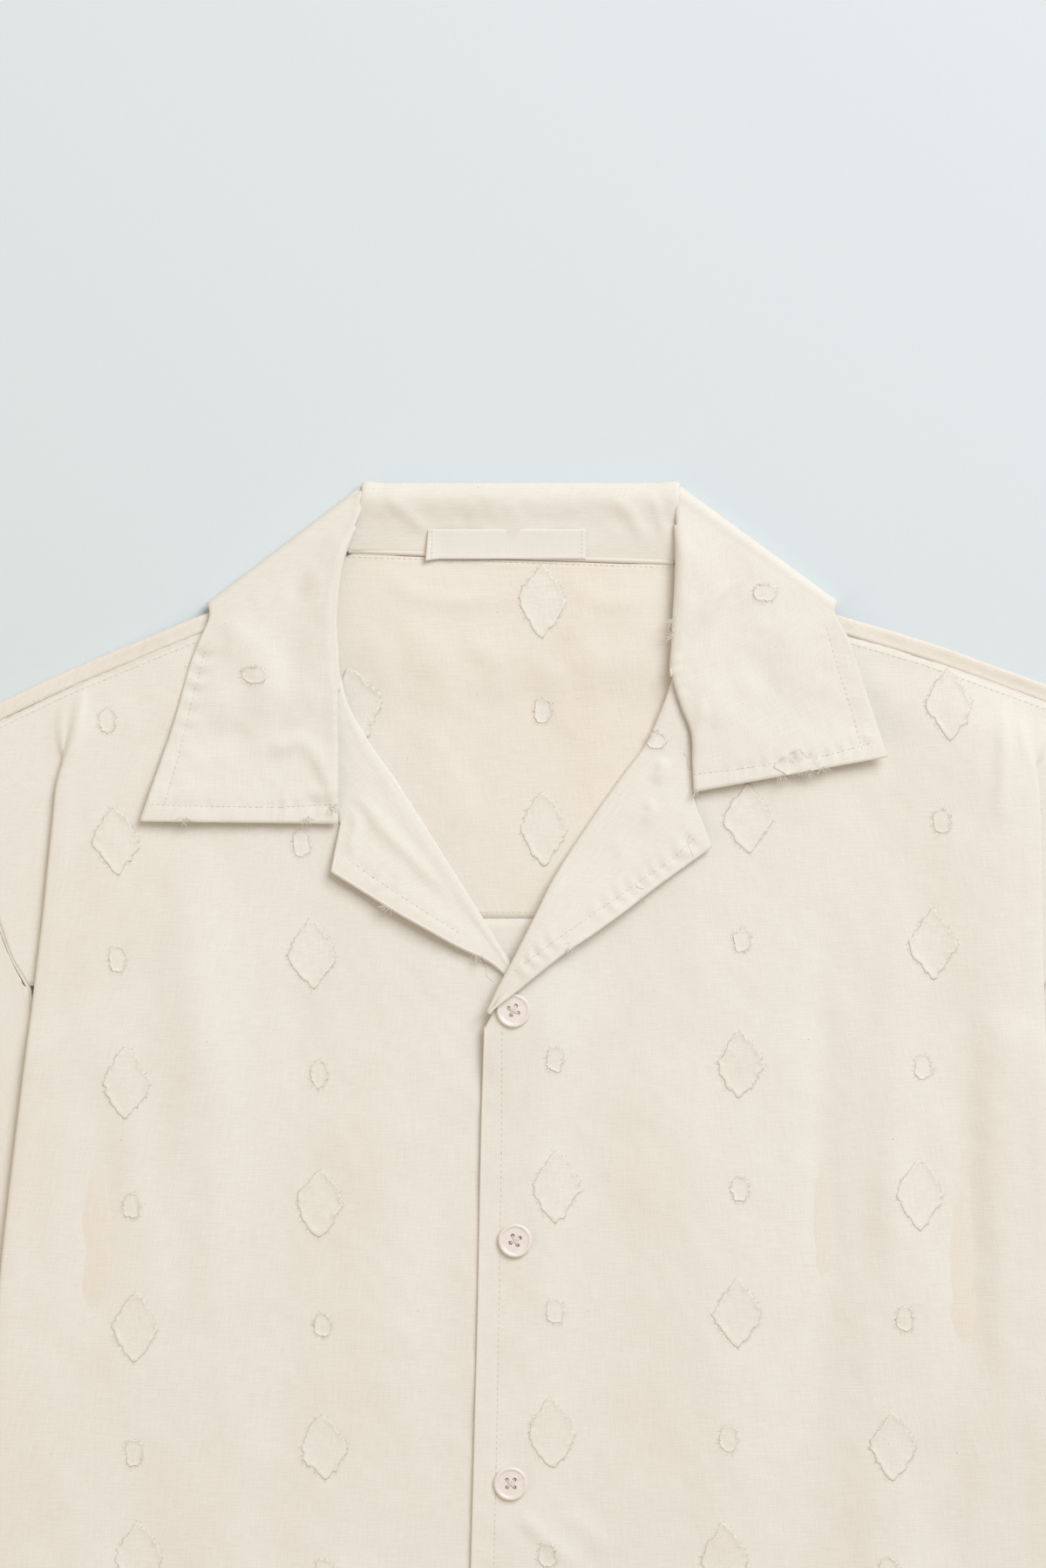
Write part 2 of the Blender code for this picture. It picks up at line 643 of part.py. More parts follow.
def build_collar(material):
    """The one-piece collar: both leaves, the folds at the neck's sides, the fall and the stand."""
    across = (0.0, 0.08, 0.17, 0.3, 0.48, 0.68, 0.86, 1.0)
    turns = (-90.0, -30.0, 30.0, 90.0)
    lip_columns = 2
    roll_columns = lip_columns + len(turns) - 1
    leaf_parts = (0.0, 0.09, 0.19, 0.29, 0.39, 0.49, 0.59, 0.69, 0.79, 0.89, 0.97)
    half_stations = []
    for side in SIDES:
        stations = []
        corner, corner_out, outward = fold_line(side)
        for up in leaf_parts:
            inner = along(side.gorge_and_roll, up)
            outer = along(side.leaf_edge, up)
            inner = inner - outward * SILHOUETTE_TURN * ease(up, 0.7, 1.0)
            outer = outer - outward * SILHOUETTE_TURN * ease(up, 0.7, 1.0)
            direction = (outer - inner) / np.linalg.norm(outer - inner)
            crest = mix(ROLL_CREST, LEAF_LEVEL, float(ease(up, 0.75, 1.0)))
            crest = mix(LEAF_LEVEL, crest, float(ease(inner[1], 262.0, 300.0)))
            rolled = inner[1] > GORGE_TOP_Y - 2.0 and up < 0.95
            line = []
            for reach in (LIP_LENGTH, LIP_LENGTH * 0.6):
                spot = inner + direction * reach
                line.append((spot, crest - 2.0 * ROLL_TURN))
            for angle in turns[:-1]:
                turn = math.radians(angle)
                spot = inner + direction * ROLL_TURN * (1.0 - math.cos(turn))
                line.append((spot, crest - ROLL_TURN + ROLL_TURN * math.sin(turn)))
            start = inner + direction * ROLL_TURN if rolled else inner
            for part in across:
                spot = mix(start, outer, part)
                out = np.linalg.norm(spot - inner)
                level = mix(crest, LEAF_LEVEL, float(ease(out, LIP_LENGTH, 30.0)))
                free = LEAF_FREE_RISE * float(ease(up, 0.25, 0.0)) * float(ease(part, 0.1, 0.5))
                line.append((spot, level + free))
            stations.append((line, rolled))
        line_in = corner - outward * SILHOUETTE_TURN
        line_out = corner_out - outward * SILHOUETTE_TURN
        for angle in (60.0, 20.0, -20.0, -60.0, -90.0):
            turn = math.radians(angle)
            shift = outward * SILHOUETTE_TURN * math.cos(turn)
            level = SILHOUETTE_CENTRE + SILHOUETTE_TURN * math.sin(turn)
            line = [(line_in + shift, level)] * (roll_columns)
            line += [(mix(line_in, line_out, part) + shift, level) for part in across]
            stations.append((line, False))
        half_stations.append((side, stations))
    rows = []
    flags = []

    def add_line(sign, line, rolled):
        rows.append([(sign * spot[0], spot[1], level) for spot, level in line])
        flags.append(rolled)

    right, left = half_stations
    for line, rolled in right[1]:
        add_line(right[0].sign, line, rolled)
    start_in = fold_start(RIGHT)
    end_in = fold_start(LEFT)
    backs = (0.015, 0.07, 0.16, 0.28, 0.42, 0.58, 0.72, 0.84, 0.93, 0.985)
    edge = (
        (start_in[1][0], start_in[1][1]), (-118.0, 319.0), (-84.0, 314.0), (0.0, 314.0),
        (88.0, 314.0), (124.0, 320.0), (end_in[1][0], end_in[1][1]),
    )
    roll_base = ROLL_Y - SILHOUETTE_TURN
    for part in backs:
        inner_x = mix(start_in[0][0], end_in[0][0], part)
        outer = along(edge, part)
        seam_x = mix(-80.2, 77.4, part)
        seam_y = mix(NECK_SEAM_RIGHT_Y, NECK_SEAM_LEFT_Y, part) + SEAM_GAP
        line = []
        for step in (0.0, 0.5):
            x = mix(seam_x, inner_x, step)
            y = mix(seam_y, roll_base, step)
            line.append((np.array((x, y)), stand_level(y)))
        for angle in (90.0, 30.0, -30.0):
            turn = math.radians(angle)
            y = roll_base + SILHOUETTE_TURN * math.cos(turn)
            line.append((np.array((inner_x, y)), SILHOUETTE_CENTRE + SILHOUETTE_TURN * math.sin(turn)))
        for step in across:
            spot = mix(np.array((inner_x, roll_base)), outer, step)
            line.append((spot, FALL_LEVEL))
        add_line(1.0, line, True)
    for line, rolled in reversed(left[1]):
        add_line(left[0].sign, line, rolled)
    columns = roll_columns + len(across)
    points = [point for row in rows for point in row]

    def keep(row, column):
        if column >= roll_columns:
            return True
        return flags[row] and flags[row + 1]

    faces = grid_faces(len(rows), columns, keep)
    return make_wall("collar", points, faces, COLLAR_CLOTH, material)


def fold_start(side):
    """The two ends of the fold's lower line, where the fall behind the neck begins."""
    corner, corner_out, outward = fold_line(side)
    inner = corner - outward * SILHOUETTE_TURN
    outer = corner_out - outward * SILHOUETTE_TURN
    return (side.sign * inner[0], inner[1]), (side.sign * outer[0], outer[1])


def build_label(material):
    """The bare label that lies on the stand at the neck seam."""
    above = COLLAR_CLOTH / 2.0 + SEAM_GAP + LABEL_CLOTH / 2.0
    points = []
    for row in (0.0, 0.25, 0.5, 0.75, 1.0):
        for column in (0.0, 0.2, 0.4, 0.6, 0.8, 1.0):
            x = mix(LABEL_RIGHT_X, LABEL_LEFT_X, column)
            y = mix(LABEL_LOW_Y, LABEL_HIGH_Y, row)
            points.append((x, y, stand_level(max(y, 358.0)) + above))
    return make_wall("label", points, grid_faces(5, 6), LABEL_CLOTH, material)


def turned_button():
    """Points and faces of a dished disc with a raised rim, its base at zero."""
    profile = (
        (0.0, 0.0), (BUTTON_RADIUS - 1.0, 0.0), (BUTTON_RADIUS, 0.8), (BUTTON_RADIUS, BUTTON_THICK - 0.5),
        (BUTTON_RADIUS - 0.5, BUTTON_THICK), (BUTTON_RADIUS - BUTTON_RIM, BUTTON_THICK),
        (BUTTON_RADIUS - BUTTON_RIM - 0.7, BUTTON_THICK - BUTTON_DISH), (0.0, BUTTON_THICK - BUTTON_DISH),
    )
    points = [(0.0, 0.0, profile[0][1])]
    for radius, level in profile[1:-1]:
        for facet in range(BUTTON_FACETS):
            turn = math.tau * facet / BUTTON_FACETS
            points.append((radius * math.cos(turn), radius * math.sin(turn), level))
    points.append((0.0, 0.0, profile[-1][1]))
    rings = len(profile) - 2
    faces = []
    for facet in range(BUTTON_FACETS):
        following = (facet + 1) % BUTTON_FACETS
        faces.append((0, 1 + following, 1 + facet))
        for ring in range(rings - 1):
            low = 1 + ring * BUTTON_FACETS
            high = low + BUTTON_FACETS
            faces.append((low + facet, low + following, high + following, high + facet))
        top = 1 + (rings - 1) * BUTTON_FACETS
        faces.append((top + facet, top + following, len(points) - 1))
    return points, faces


def hole_cutter():
    """Points and faces of the four prisms that make a button's holes."""
    points = []
    faces = []
    half = HOLE_SPACING / 2.0
    for side_x, side_y in ((-half, -half), (half, -half), (half, half), (-half, half)):
        base = len(points)
        for level in (-1.0, BUTTON_THICK + 1.0):
            for facet in range(HOLE_FACETS):
                turn = math.tau * (facet + 0.5) / HOLE_FACETS
                x = side_x + HOLE_RADIUS * math.cos(turn)
                y = side_y + HOLE_RADIUS * math.sin(turn)
                points.append((x, y, level))
        lower = tuple(base + facet for facet in reversed(range(HOLE_FACETS)))
        upper = tuple(base + HOLE_FACETS + facet for facet in range(HOLE_FACETS))
        faces += [lower, upper]
        for facet in range(HOLE_FACETS):
            following = (facet + 1) % HOLE_FACETS
            faces.append((base + facet, base + following, base + HOLE_FACETS + following,
                          base + HOLE_FACETS + facet))
    return points, faces


def build_buttons(material):
    """Five sewn buttons with four holes each, seated on the left front."""
    points, faces = turned_button()
    blank = add_object("button_blank", points, faces, material)
    points, faces = hole_cutter()
    cutter = add_object("button_holes", points, faces, material)
    cut = blank.modifiers.new("holes", "BOOLEAN")
    cut.operation = "DIFFERENCE"
    cut.solver = "EXACT"
    cut.object = cutter
    bpy.context.view_layer.update()
    graph = bpy.context.evaluated_depsgraph_get()
    mesh = bpy.data.meshes.new_from_object(blank.evaluated_get(graph))
    mesh.name = "button"
    bpy.data.objects.remove(blank)
    bpy.data.objects.remove(cutter)
    for number, place in enumerate(BUTTONS, start=1):
        item = bpy.data.objects.new("button_%d" % number, mesh)
        seats = [
            float(front_level(LEFT, place.x + dx, place.y + dy))
            for dx in (-BUTTON_RADIUS, 0.0, BUTTON_RADIUS)
            for dy in (-BUTTON_RADIUS, 0.0, BUTTON_RADIUS)
        ]
        base = max(seats) + CLOTH / 2.0 + SEAM_GAP
        item.location = (place.x * MILLIMETRE, place.y * MILLIMETRE, base * MILLIMETRE)
        bpy.context.scene.collection.objects.link(item)


def main():
    """Build every cut piece, the label and the buttons."""
    for item in list(bpy.data.objects):
        bpy.data.objects.remove(item, do_unlink=True)
    cloth = make_material("cotton", CLOTH_COLOUR, CLOTH_ROUGHNESS)
    facing = make_material("cotton_inside", FACING_COLOUR, CLOTH_ROUGHNESS)
    tape = make_material("label_tape", LABEL_COLOUR, CLOTH_ROUGHNESS)
    shell = make_material("button_shell", BUTTON_COLOUR, BUTTON_ROUGHNESS)
    build_back(cloth)
    build_yoke(cloth)
    for side in SIDES:
        build_front(side, cloth)
        build_sleeve(side, cloth)
        build_facing(side, facing)
    build_collar(cloth)
    build_label(tape)
    build_buttons(shell)


main()
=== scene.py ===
"""Looks of a short-sleeved camp-collar shirt in clipped jacquard cotton, buttoned and laid flat.

Every cut piece of the frame is dressed by a thin cloth shell on the same named sizes: a coarse grid
of middle points is worked out from short tables, refined by a smooth spline, given its creases and
puckers and thickened. Motifs, stitches, frayed fibres, loose threads, buttons and the bare neck
label are laid on those shells. Sizes are in millimetres and become metres in the meshes. X runs
across the shirt, Y from hem to collar and Z up from the surface that it lies on.
"""

import logging
import math
from dataclasses import dataclass, field
from enum import Enum
from typing import Callable, Dict, List, Optional, Sequence, Tuple, Union

import bpy
import numpy as np
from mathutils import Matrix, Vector
from mathutils.bvhtree import BVHTree


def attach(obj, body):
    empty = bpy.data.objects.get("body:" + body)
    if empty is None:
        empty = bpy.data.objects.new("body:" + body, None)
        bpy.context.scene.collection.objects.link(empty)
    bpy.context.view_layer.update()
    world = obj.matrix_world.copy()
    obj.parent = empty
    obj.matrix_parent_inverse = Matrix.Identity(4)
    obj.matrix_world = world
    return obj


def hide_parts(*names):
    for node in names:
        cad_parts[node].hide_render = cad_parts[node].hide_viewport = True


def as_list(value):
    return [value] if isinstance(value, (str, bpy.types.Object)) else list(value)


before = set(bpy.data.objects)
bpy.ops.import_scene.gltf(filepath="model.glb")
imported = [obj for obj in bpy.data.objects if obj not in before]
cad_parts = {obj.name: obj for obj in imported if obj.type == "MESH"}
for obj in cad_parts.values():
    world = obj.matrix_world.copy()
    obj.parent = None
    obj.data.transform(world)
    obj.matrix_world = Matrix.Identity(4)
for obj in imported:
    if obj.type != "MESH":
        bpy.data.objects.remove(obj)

logging.basicConfig(level=logging.INFO, format="%(message)s")
LOG = logging.getLogger("shirt")

Spot = Tuple[float, float]
Place = Tuple[float, float, float]
Table = Tuple[Spot, ...]
Number = Union[float, np.ndarray]
Colour = Tuple[float, float, float, float]
Thing = bpy.types.Object
Material = bpy.types.Material
Mesh = bpy.types.Mesh

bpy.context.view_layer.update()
MILLIMETRE = 0.001
PHOTO_SCALE = 0.42
PHOTO_CENTRE_X = 590.0
PHOTO_ROLL_Y = 555.0
LAPEL_TIP = (-13.4, 137.4)

# Sizes of what is laid on the cloth: a motif's point moves inwards until it lies on the motif's own layer
DOWN = Vector((0.0, 0.0, -1.0))
DROP_HEIGHT = 60.0
STITCH_LIFT = 0.02
TUFT_THREADS = 16
MOTIF_PITCH = 59.2
PULL_STEPS = 14
PULL_SHARE = 0.88
PATCH_STEP = 2.5
FIBRE_RING = 5

# The surface under the shirt
FLOOR_LEVEL = -0.4
FLOOR_CORNERS = ((-3000.0, -3000.0), (3000.0, -3000.0), (3000.0, 3000.0), (-3000.0, 3000.0))

CLOTH = 1.2
COLLAR_CLOTH = 1.6
LABEL_CLOTH = 1.0
SEAM_GAP = 0.3
ARMHOLE_GAP = 0.3
LAYER_GAP = 0.4
BACK_LEVEL = CLOTH / 2.0

# Heights in the length of the shirt
HEM_Y = -392.5
ROLL_Y = 392.5
YOKE_SEAM_Y = 183.0
NECK_SEAM_RIGHT_Y = 360.2
NECK_SEAM_LEFT_Y = 354.7
ARMPIT_Y = 150.0
GORGE_TOP_Y = 293.8

# Levels of the layers above the surface
SLEEVE_TOP_LEVEL = 2.6
SLEEVE_TURN = (SLEEVE_TOP_LEVEL - BACK_LEVEL) / 2.0
SLEEVE_LIFT = 3.9
FALL_LIFT = 2.2
FALL_LEVEL = COLLAR_CLOTH / 2.0
LEAF_LEVEL = 8.4
SILHOUETTE_TURN = (LEAF_LEVEL - FALL_LEVEL) / 2.0
SILHOUETTE_CENTRE = (LEAF_LEVEL + FALL_LEVEL) / 2.0
LEAF_FREE_RISE = 1.6
ROLL_CREST = 11.2
ROLL_TURN = 1.9
LIP_LENGTH = 9.0
YOKE_WRAP = 8.6
FOLD_TURN = 1.4
DROP_SHOULDER_RETURN = SLEEVE_TOP_LEVEL + 2.2
LIFT_MARGIN = 12.0
FOLD_OVERLAP = 6.0
FOLD_START = 34.0

CROSSING_X = 0.0
CROSSING_LIFT = 2.6
OVERLAP_LIFT = 1.8
LABEL_LEFT_X = 34.4
LABEL_RIGHT_X = -42.0
LABEL_LOW_Y = 356.4
LABEL_HIGH_Y = 370.4


@dataclass(frozen=True)
class Half:
    """Named sizes of one half of the shirt. Points are (out, y); tables read by height are (y, out)."""

    name: str
    sign: float
    placket: Table
    neckline: Table
    side_fold: Table
    armhole: Table
    shoulder: Table
    sleeve_top: Table
    sleeve_under: Table
    gorge_and_roll: Table
    leaf_edge: Table
    lapel_roll: Table
    lapel_edge: Table
    lapel_stations: Tuple[float, ...]
    middle_level: float
    roll_radius: float


@dataclass(frozen=True)
class Ridge:
    """A soft upright ridge of a front, which grows towards the hem."""

    sign: float
    x_high: float
    x_low: float
    y_high: float
    y_low: float
    half_width: float
    height: float


RIGHT = Half(
    name="right",
    sign=-1.0,
    placket=((-392.5, -14.0), (138.0, -15.0)),
    neckline=(
        (-15.5, 132.0), (-2.0, 148.0), (2.0, 155.0), (33.6, 206.0), (58.8, 246.0), (71.4, 263.0),
        (84.5, 287.0), (92.0, 322.0), (98.0, 342.5),
    ),
    side_fold=(
        (-392.5, 268.0), (-250.0, 264.0), (-100.0, 256.0), (25.0, 246.0), (79.6, 239.6),
        (142.6, 231.8), (184.6, 226.8), (247.6, 220.5), (289.6, 216.3), (303.0, 215.0),
    ),
    armhole=((150.0, 234.5), (163.0, 242.0), (180.0, 248.5), (205.0, 256.5), (240.0, 263.0), (277.0, 268.0)),
    shoulder=((84.0, 355.0), (149.0, 329.5), (216.0, 302.0), (268.0, 277.0)),
    sleeve_top=((269.6, 277.8), (310.0, 204.0), (343.0, 126.0), (366.0, 58.0)),
    sleeve_under=((235.0, 150.0), (232.6, 138.0), (226.0, 114.0), (216.0, 68.0), (197.0, -17.0)),
    gorge_and_roll=((84.3, 228.9), (84.3, 293.8), (86.1, 331.6), (82.7, 356.8), (73.5, 391.0)),
    leaf_edge=((179.8, 230.0), (163.8, 277.0), (148.0, 334.5)),
    lapel_roll=((81.2, 288.0), (71.4, 268.6), (58.8, 251.8), (33.6, 211.9), (2.1, 161.5), (-1.5, 155.5)),
    lapel_edge=(
        (83.7, 280.0), (83.7, 228.7), (88.2, 205.6), (54.6, 184.6), (16.8, 163.6), (2.9, 158.6),
        (0.5, 152.5),
    ),
    lapel_stations=(0.0, 0.1, 0.2, 0.306, 0.37, 0.43, 0.52, 0.62, 0.72, 0.82, 0.91, 1.0),
    middle_level=2.6,
    roll_radius=1.3,
)
LEFT = Half(
    name="left",
    sign=1.0,
    placket=((-392.5, -22.5), (-130.0, -21.0), (-4.0, -17.6), (79.6, -16.0), (136.0, -14.2)),
    neckline=(
        (-15.0, 128.5), (0.0, 157.4), (21.0, 200.0), (42.0, 232.2), (65.1, 263.6), (76.5, 287.0),
        (86.0, 322.0), (92.0, 342.5),
    ),
    side_fold=(
        (-392.5, 272.0), (-250.0, 270.0), (-100.0, 266.0), (25.0, 260.0), (142.0, 255.0),
        (256.0, 253.0), (296.0, 252.0),
    ),
    armhole=((150.0, 256.5), (163.0, 262.5), (180.0, 267.0), (205.0, 271.0), (240.0, 273.5), (287.0, 276.0)),
    shoulder=((80.0, 353.0), (155.0, 329.0), (197.0, 317.0), (256.0, 295.5), (276.0, 287.0)),
    sleeve_top=((277.6, 287.8), (315.0, 214.0), (345.0, 135.0), (366.0, 66.0)),
    sleeve_under=((257.0, 150.0), (255.0, 138.0), (248.0, 114.0), (232.0, 68.0), (197.0, -4.0)),
    gorge_and_roll=(
        (86.0, 244.0), (84.4, 277.0), (75.2, 293.8), (76.4, 323.2), (78.1, 352.6), (79.8, 391.0),
    ),
    leaf_edge=((179.3, 261.0), (165.9, 302.2), (155.6, 335.5)),
    lapel_roll=((73.0, 288.0), (65.1, 268.6), (42.0, 237.1), (21.0, 205.6), (0.0, 163.6), (-8.0, 148.8)),
    lapel_edge=(
        (79.6, 282.5), (83.7, 276.6), (85.4, 243.8), (94.9, 217.4), (68.0, 198.0), (46.2, 181.2),
        (21.0, 164.4), (-1.0, 146.4),
    ),
    lapel_stations=(0.0, 0.065, 0.14, 0.23, 0.30, 0.37, 0.45, 0.54, 0.64, 0.74, 0.83, 0.92, 1.0),
    middle_level=2.6,
    roll_radius=1.5,
)
SIDES = (RIGHT, LEFT)

# Heights of the fronts' rows along the side fold, closer together at the armpit
FRONT_ROWS = (
    -392.5, -345.0, -300.0, -250.0, -205.0, -160.0, -115.0, -75.0, -48.0, -24.0, 15.0, 60.0, 95.0,
    120.0, 137.0, 150.5, 163.0, 182.0, 206.0, 230.0, 250.0, 266.0, 280.0,
)

RIDGES = (
    Ridge(sign=-1.0, x_high=-165.0, x_low=-140.0, y_high=225.0, y_low=-60.0, half_width=17.0, height=2.6),
    Ridge(sign=-1.0, x_high=-95.0, x_low=-78.0, y_high=60.0, y_low=-392.5, half_width=24.0, height=2.2),
    Ridge(sign=-1.0, x_high=-205.0, x_low=-196.0, y_high=10.0, y_low=-392.5, half_width=20.0, height=3.0),
    Ridge(sign=1.0, x_high=186.0, x_low=176.0, y_high=120.0, y_low=-392.5, half_width=17.0, height=3.4),
    Ridge(sign=1.0, x_high=112.0, x_low=104.0, y_high=70.0, y_low=-392.5, half_width=22.0, height=2.4),
    Ridge(sign=1.0, x_high=232.0, x_low=226.0, y_high=250.0, y_low=-300.0, half_width=13.0, height=2.0),
)

BUTTONS = (
    (-0.4, 138.8), (0.4, 27.9), (-1.7, -89.2), (-3.2, -204.0), (-4.8, -318.0),
)


class MotifKind(Enum):
    """The two clipped motifs of the cloth: half width, half height and the outline's roundness."""

    DIAMOND = (11.8, 17.6, 1.22)
    OVAL = (4.2, 6.2, 2.4)


def ease(value: Number, start: float, end: float) -> Number:
    """A soft step.

    Args:
        value: where it is read.
        start: the place where it is 0.
        end: the place where it is 1.

    Returns:
        A number or an array from 0 to 1.
    """
    part = np.clip((np.asarray(value, dtype=float) - start) / (end - start), 0.0, 1.0)
    return part * part * (3.0 - 2.0 * part)


def mix(first: Number, second: Number, part: Number) -> Number:
    """The value that lies part of the way from first to second."""
    return first + (second - first) * part


def read(table: Table, at: Number) -> Number:
    """Read the second column of a table whose first column rises."""
    rows = np.array(table, dtype=float)
    return np.interp(at, rows[:, 0], rows[:, 1])


def along(points: Sequence[Sequence[float]], part: float) -> np.ndarray:
    """The point that lies at a part of a bent line's length."""
    line = np.array(points, dtype=float)
    reach = np.concatenate(([0.0], np.cumsum(np.linalg.norm(np.diff(line, axis=0), axis=1))))
    return np.array([np.interp(part * reach[-1], reach, line[:, axis]) for axis in range(line.shape[1])])


def arc(*degrees: float) -> List[Spot]:
    """Cosine and sine of angles in degrees."""
    return [(math.cos(math.radians(angle)), math.sin(math.radians(angle))) for angle in degrees]


def spun(place: Spot, x: float, y: float, turn: float) -> Spot:
    """A point turned about the origin and moved to a place."""
    cos, sin = math.cos(turn), math.sin(turn)
    return place[0] + x * cos - y * sin, place[1] + x * sin + y * cos


def square(run: np.ndarray) -> np.ndarray:
    """The unit direction square to a run, on its left."""
    return np.array((-run[1], run[0])) / np.linalg.norm(run)


def capped(rings: int, spokes: int) -> List[Tuple[int, ...]]:
    """Faces of a round body: rings of points between a first point and a last one."""
    faces: List[Tuple[int, ...]] = []
    top, last = 1 + (rings - 1) * spokes, 1 + rings * spokes
    for spoke in range(spokes):
        following = (spoke + 1) % spokes
        faces.append((0, 1 + following, 1 + spoke))
        for low in range(1, top, spokes):
            high = low + spokes
            faces.append((low + spoke, low + following, high + following, high + spoke))
        faces.append((top + spoke, top + following, last))
    return faces


def seen(*places: Spot) -> Table:
    """Turn places of the photograph's 1200 x 1799 frame into millimetres of the shirt's own frame."""
    return tuple(
        (PHOTO_SCALE * (x - PHOTO_CENTRE_X), ROLL_Y - PHOTO_SCALE * (y - PHOTO_ROLL_Y)) for x, y in places
    )


def value_noise(x: np.ndarray, y: np.ndarray, size_x: float, size_y: float, seed: int) -> np.ndarray:
    """Smooth noise on a grid of fixed random values.

    Args:
        x: places across, in millimetres.
        y: places along, in millimetres.
        size_x: width of the noise's cells.
        size_y: length of the noise's cells.
        seed: number that fixes the random values.

    Returns:
        Values from -1 to 1.
    """
    table = np.random.default_rng(seed).uniform(-1.0, 1.0, (64, 64))
    across, lengthwise = x / size_x, y / size_y
    column, row = np.floor(across).astype(int), np.floor(lengthwise).astype(int)
    part_x, part_y = across - column, lengthwise - row
    part_x = part_x * part_x * (3.0 - 2.0 * part_x)
    part_y = part_y * part_y * (3.0 - 2.0 * part_y)
    low = mix(table[row % 64, column % 64], table[row % 64, (column + 1) % 64], part_x)
    high = mix(table[(row + 1) % 64, column % 64], table[(row + 1) % 64, (column + 1) % 64], part_x)
    return mix(low, high, part_y)


def line_distance(x: np.ndarray, y: np.ndarray, line: Sequence[Spot]) -> Tuple[np.ndarray, np.ndarray, float]:
    """Measure places against a bent line.

    Args:
        x: places across.
        y: places along.
        line: the line's corners.

    Returns:
        Each place's distance from the line, how far along the line it lies, and the line's length.
    """
    best = np.full(x.shape, 1e9)
    reach = np.zeros(x.shape)
    walked = 0.0
    for (start_x, start_y), (end_x, end_y) in zip(line[:-1], line[1:]):
        run_x, run_y = end_x - start_x, end_y - start_y
        length = math.hypot(run_x, run_y)
        part = np.clip(((x - start_x) * run_x + (y - start_y) * run_y) / (length * length), 0.0, 1.0)
        distance = np.hypot(x - start_x - part * run_x, y - start_y - part * run_y)
        nearer = distance < best
        best = np.where(nearer, distance, best)
        reach = np.where(nearer, walked + part * length, reach)
        walked += length
    return best, reach, walked


@dataclass(frozen=True)
class Crease:
    """A soft ridge, or a trough where its height is negative, along a bent line."""

    line: Tuple[Spot, ...]
    width: float
    height: float

    def rise(self, x: np.ndarray, y: np.ndarray) -> np.ndarray:
        """Height of the crease at each place, which tapers to both ends."""
        distance, reach, length = line_distance(x, y, self.line)
        taper = ease(reach, 0.0, 0.3 * length) * ease(reach, length, 0.65 * length)
        return self.height * taper * np.exp(-((distance / self.width) ** 2))


@dataclass(frozen=True)
class SeamPucker:
    """The row of small puckers and the sunk channel that a seam or a stitched line draws in cloth."""

    line: Tuple[Spot, ...]
    spacing: float = 9.0
    height: float = 0.45
    reach: float = 6.0
    channel: float = 0.25
    seed: int = 1

    def rise(self, x: np.ndarray, y: np.ndarray) -> np.ndarray:
        """Height of the puckers at each place."""
        distance, reach, _ = line_distance(x, y, self.line)
        wander = value_noise(reach, distance, 2.3 * self.spacing, 40.0, self.seed)
        strength = 0.5 + 0.5 * value_noise(reach, distance, 3.1 * self.spacing, 60.0, self.seed + 7)
        wave = np.sin(math.tau * reach / self.spacing + 3.4 * wander + 0.25 * distance)
        beside = np.exp(-((distance / self.reach) ** 2))
        return self.height * strength * wave * beside - self.channel * np.exp(-((distance / 1.6) ** 2))


@dataclass(frozen=True)
class Relief:
    """The small heights that a cloth piece takes on over its main form."""

    creases: Tuple[Crease, ...] = ()
    puckers: Tuple[SeamPucker, ...] = ()
    swell: float = 0.5
    swell_width: float = 46.0
    swell_length: float = 130.0
    crinkle: float = 0.12
    crinkle_size: float = 13.0
    seed: int = 3

    def rise(self, x: np.ndarray, y: np.ndarray) -> np.ndarray:
        """Height at each place, in millimetres."""
        size = self.crinkle_size
        total = self.swell * value_noise(x, y, self.swell_width, self.swell_length, self.seed)
        total = total + self.crinkle * value_noise(x, y, size, 1.5 * size, self.seed + 1)
        total = total + 0.5 * self.crinkle * value_noise(x + 0.4 * y, y, 0.5 * size, 0.6 * size, self.seed + 2)
        for fold in self.creases + self.puckers:
            total = total + fold.rise(x, y)
        return total


def make_mesh(
    name: str,
    points: np.ndarray,
    faces: List[Sequence[int]],
    material: Material,
    corner_places: Optional[np.ndarray] = None,
) -> Thing:
    """Make an object at the origin from points in millimetres, with its faces turned outwards.

    Args:
        name: the piece's name.
        points: one row of three numbers for each point.
        faces: the corners of each face.
        material: the piece's finish.
        corner_places: the cloth's own coordinates at each face corner, where it has them.

    Returns:
        The new object.
    """
    scaled = np.asarray(points, dtype=float) * MILLIMETRE
    volume = 0.0
    for size in (3, 4):
        corners = np.array([face for face in faces if len(face) == size], dtype=int)
        if len(corners):
            for second, third in ((1, 2), (2, 3))[: size - 2]:
                crossed = np.cross(scaled[corners[:, second]], scaled[corners[:, third]])
                volume += float(np.sum(scaled[corners[:, 0]] * crossed))
    if volume < 0.0:
        if corner_places is not None:
            starts = np.cumsum([0] + [len(face) for face in faces])
            corner_places = np.concatenate([
                corner_places[start:end][::-1] for start, end in zip(starts[:-1], starts[1:])
            ])
        faces = [tuple(reversed(face)) for face in faces]
    mesh = bpy.data.meshes.new(name)
    mesh.from_pydata(scaled.tolist(), [], [list(map(int, face)) for face in faces])
    if corner_places is not None:
        layer = mesh.uv_layers.new(name="cloth")
        layer.data.foreach_set("uv", np.asarray(corner_places, dtype=np.float32).ravel())
    mesh.materials.append(material)
    mesh.shade_smooth()
    item = bpy.data.objects.new(name, mesh)
    bpy.context.scene.collection.objects.link(item)
    return item


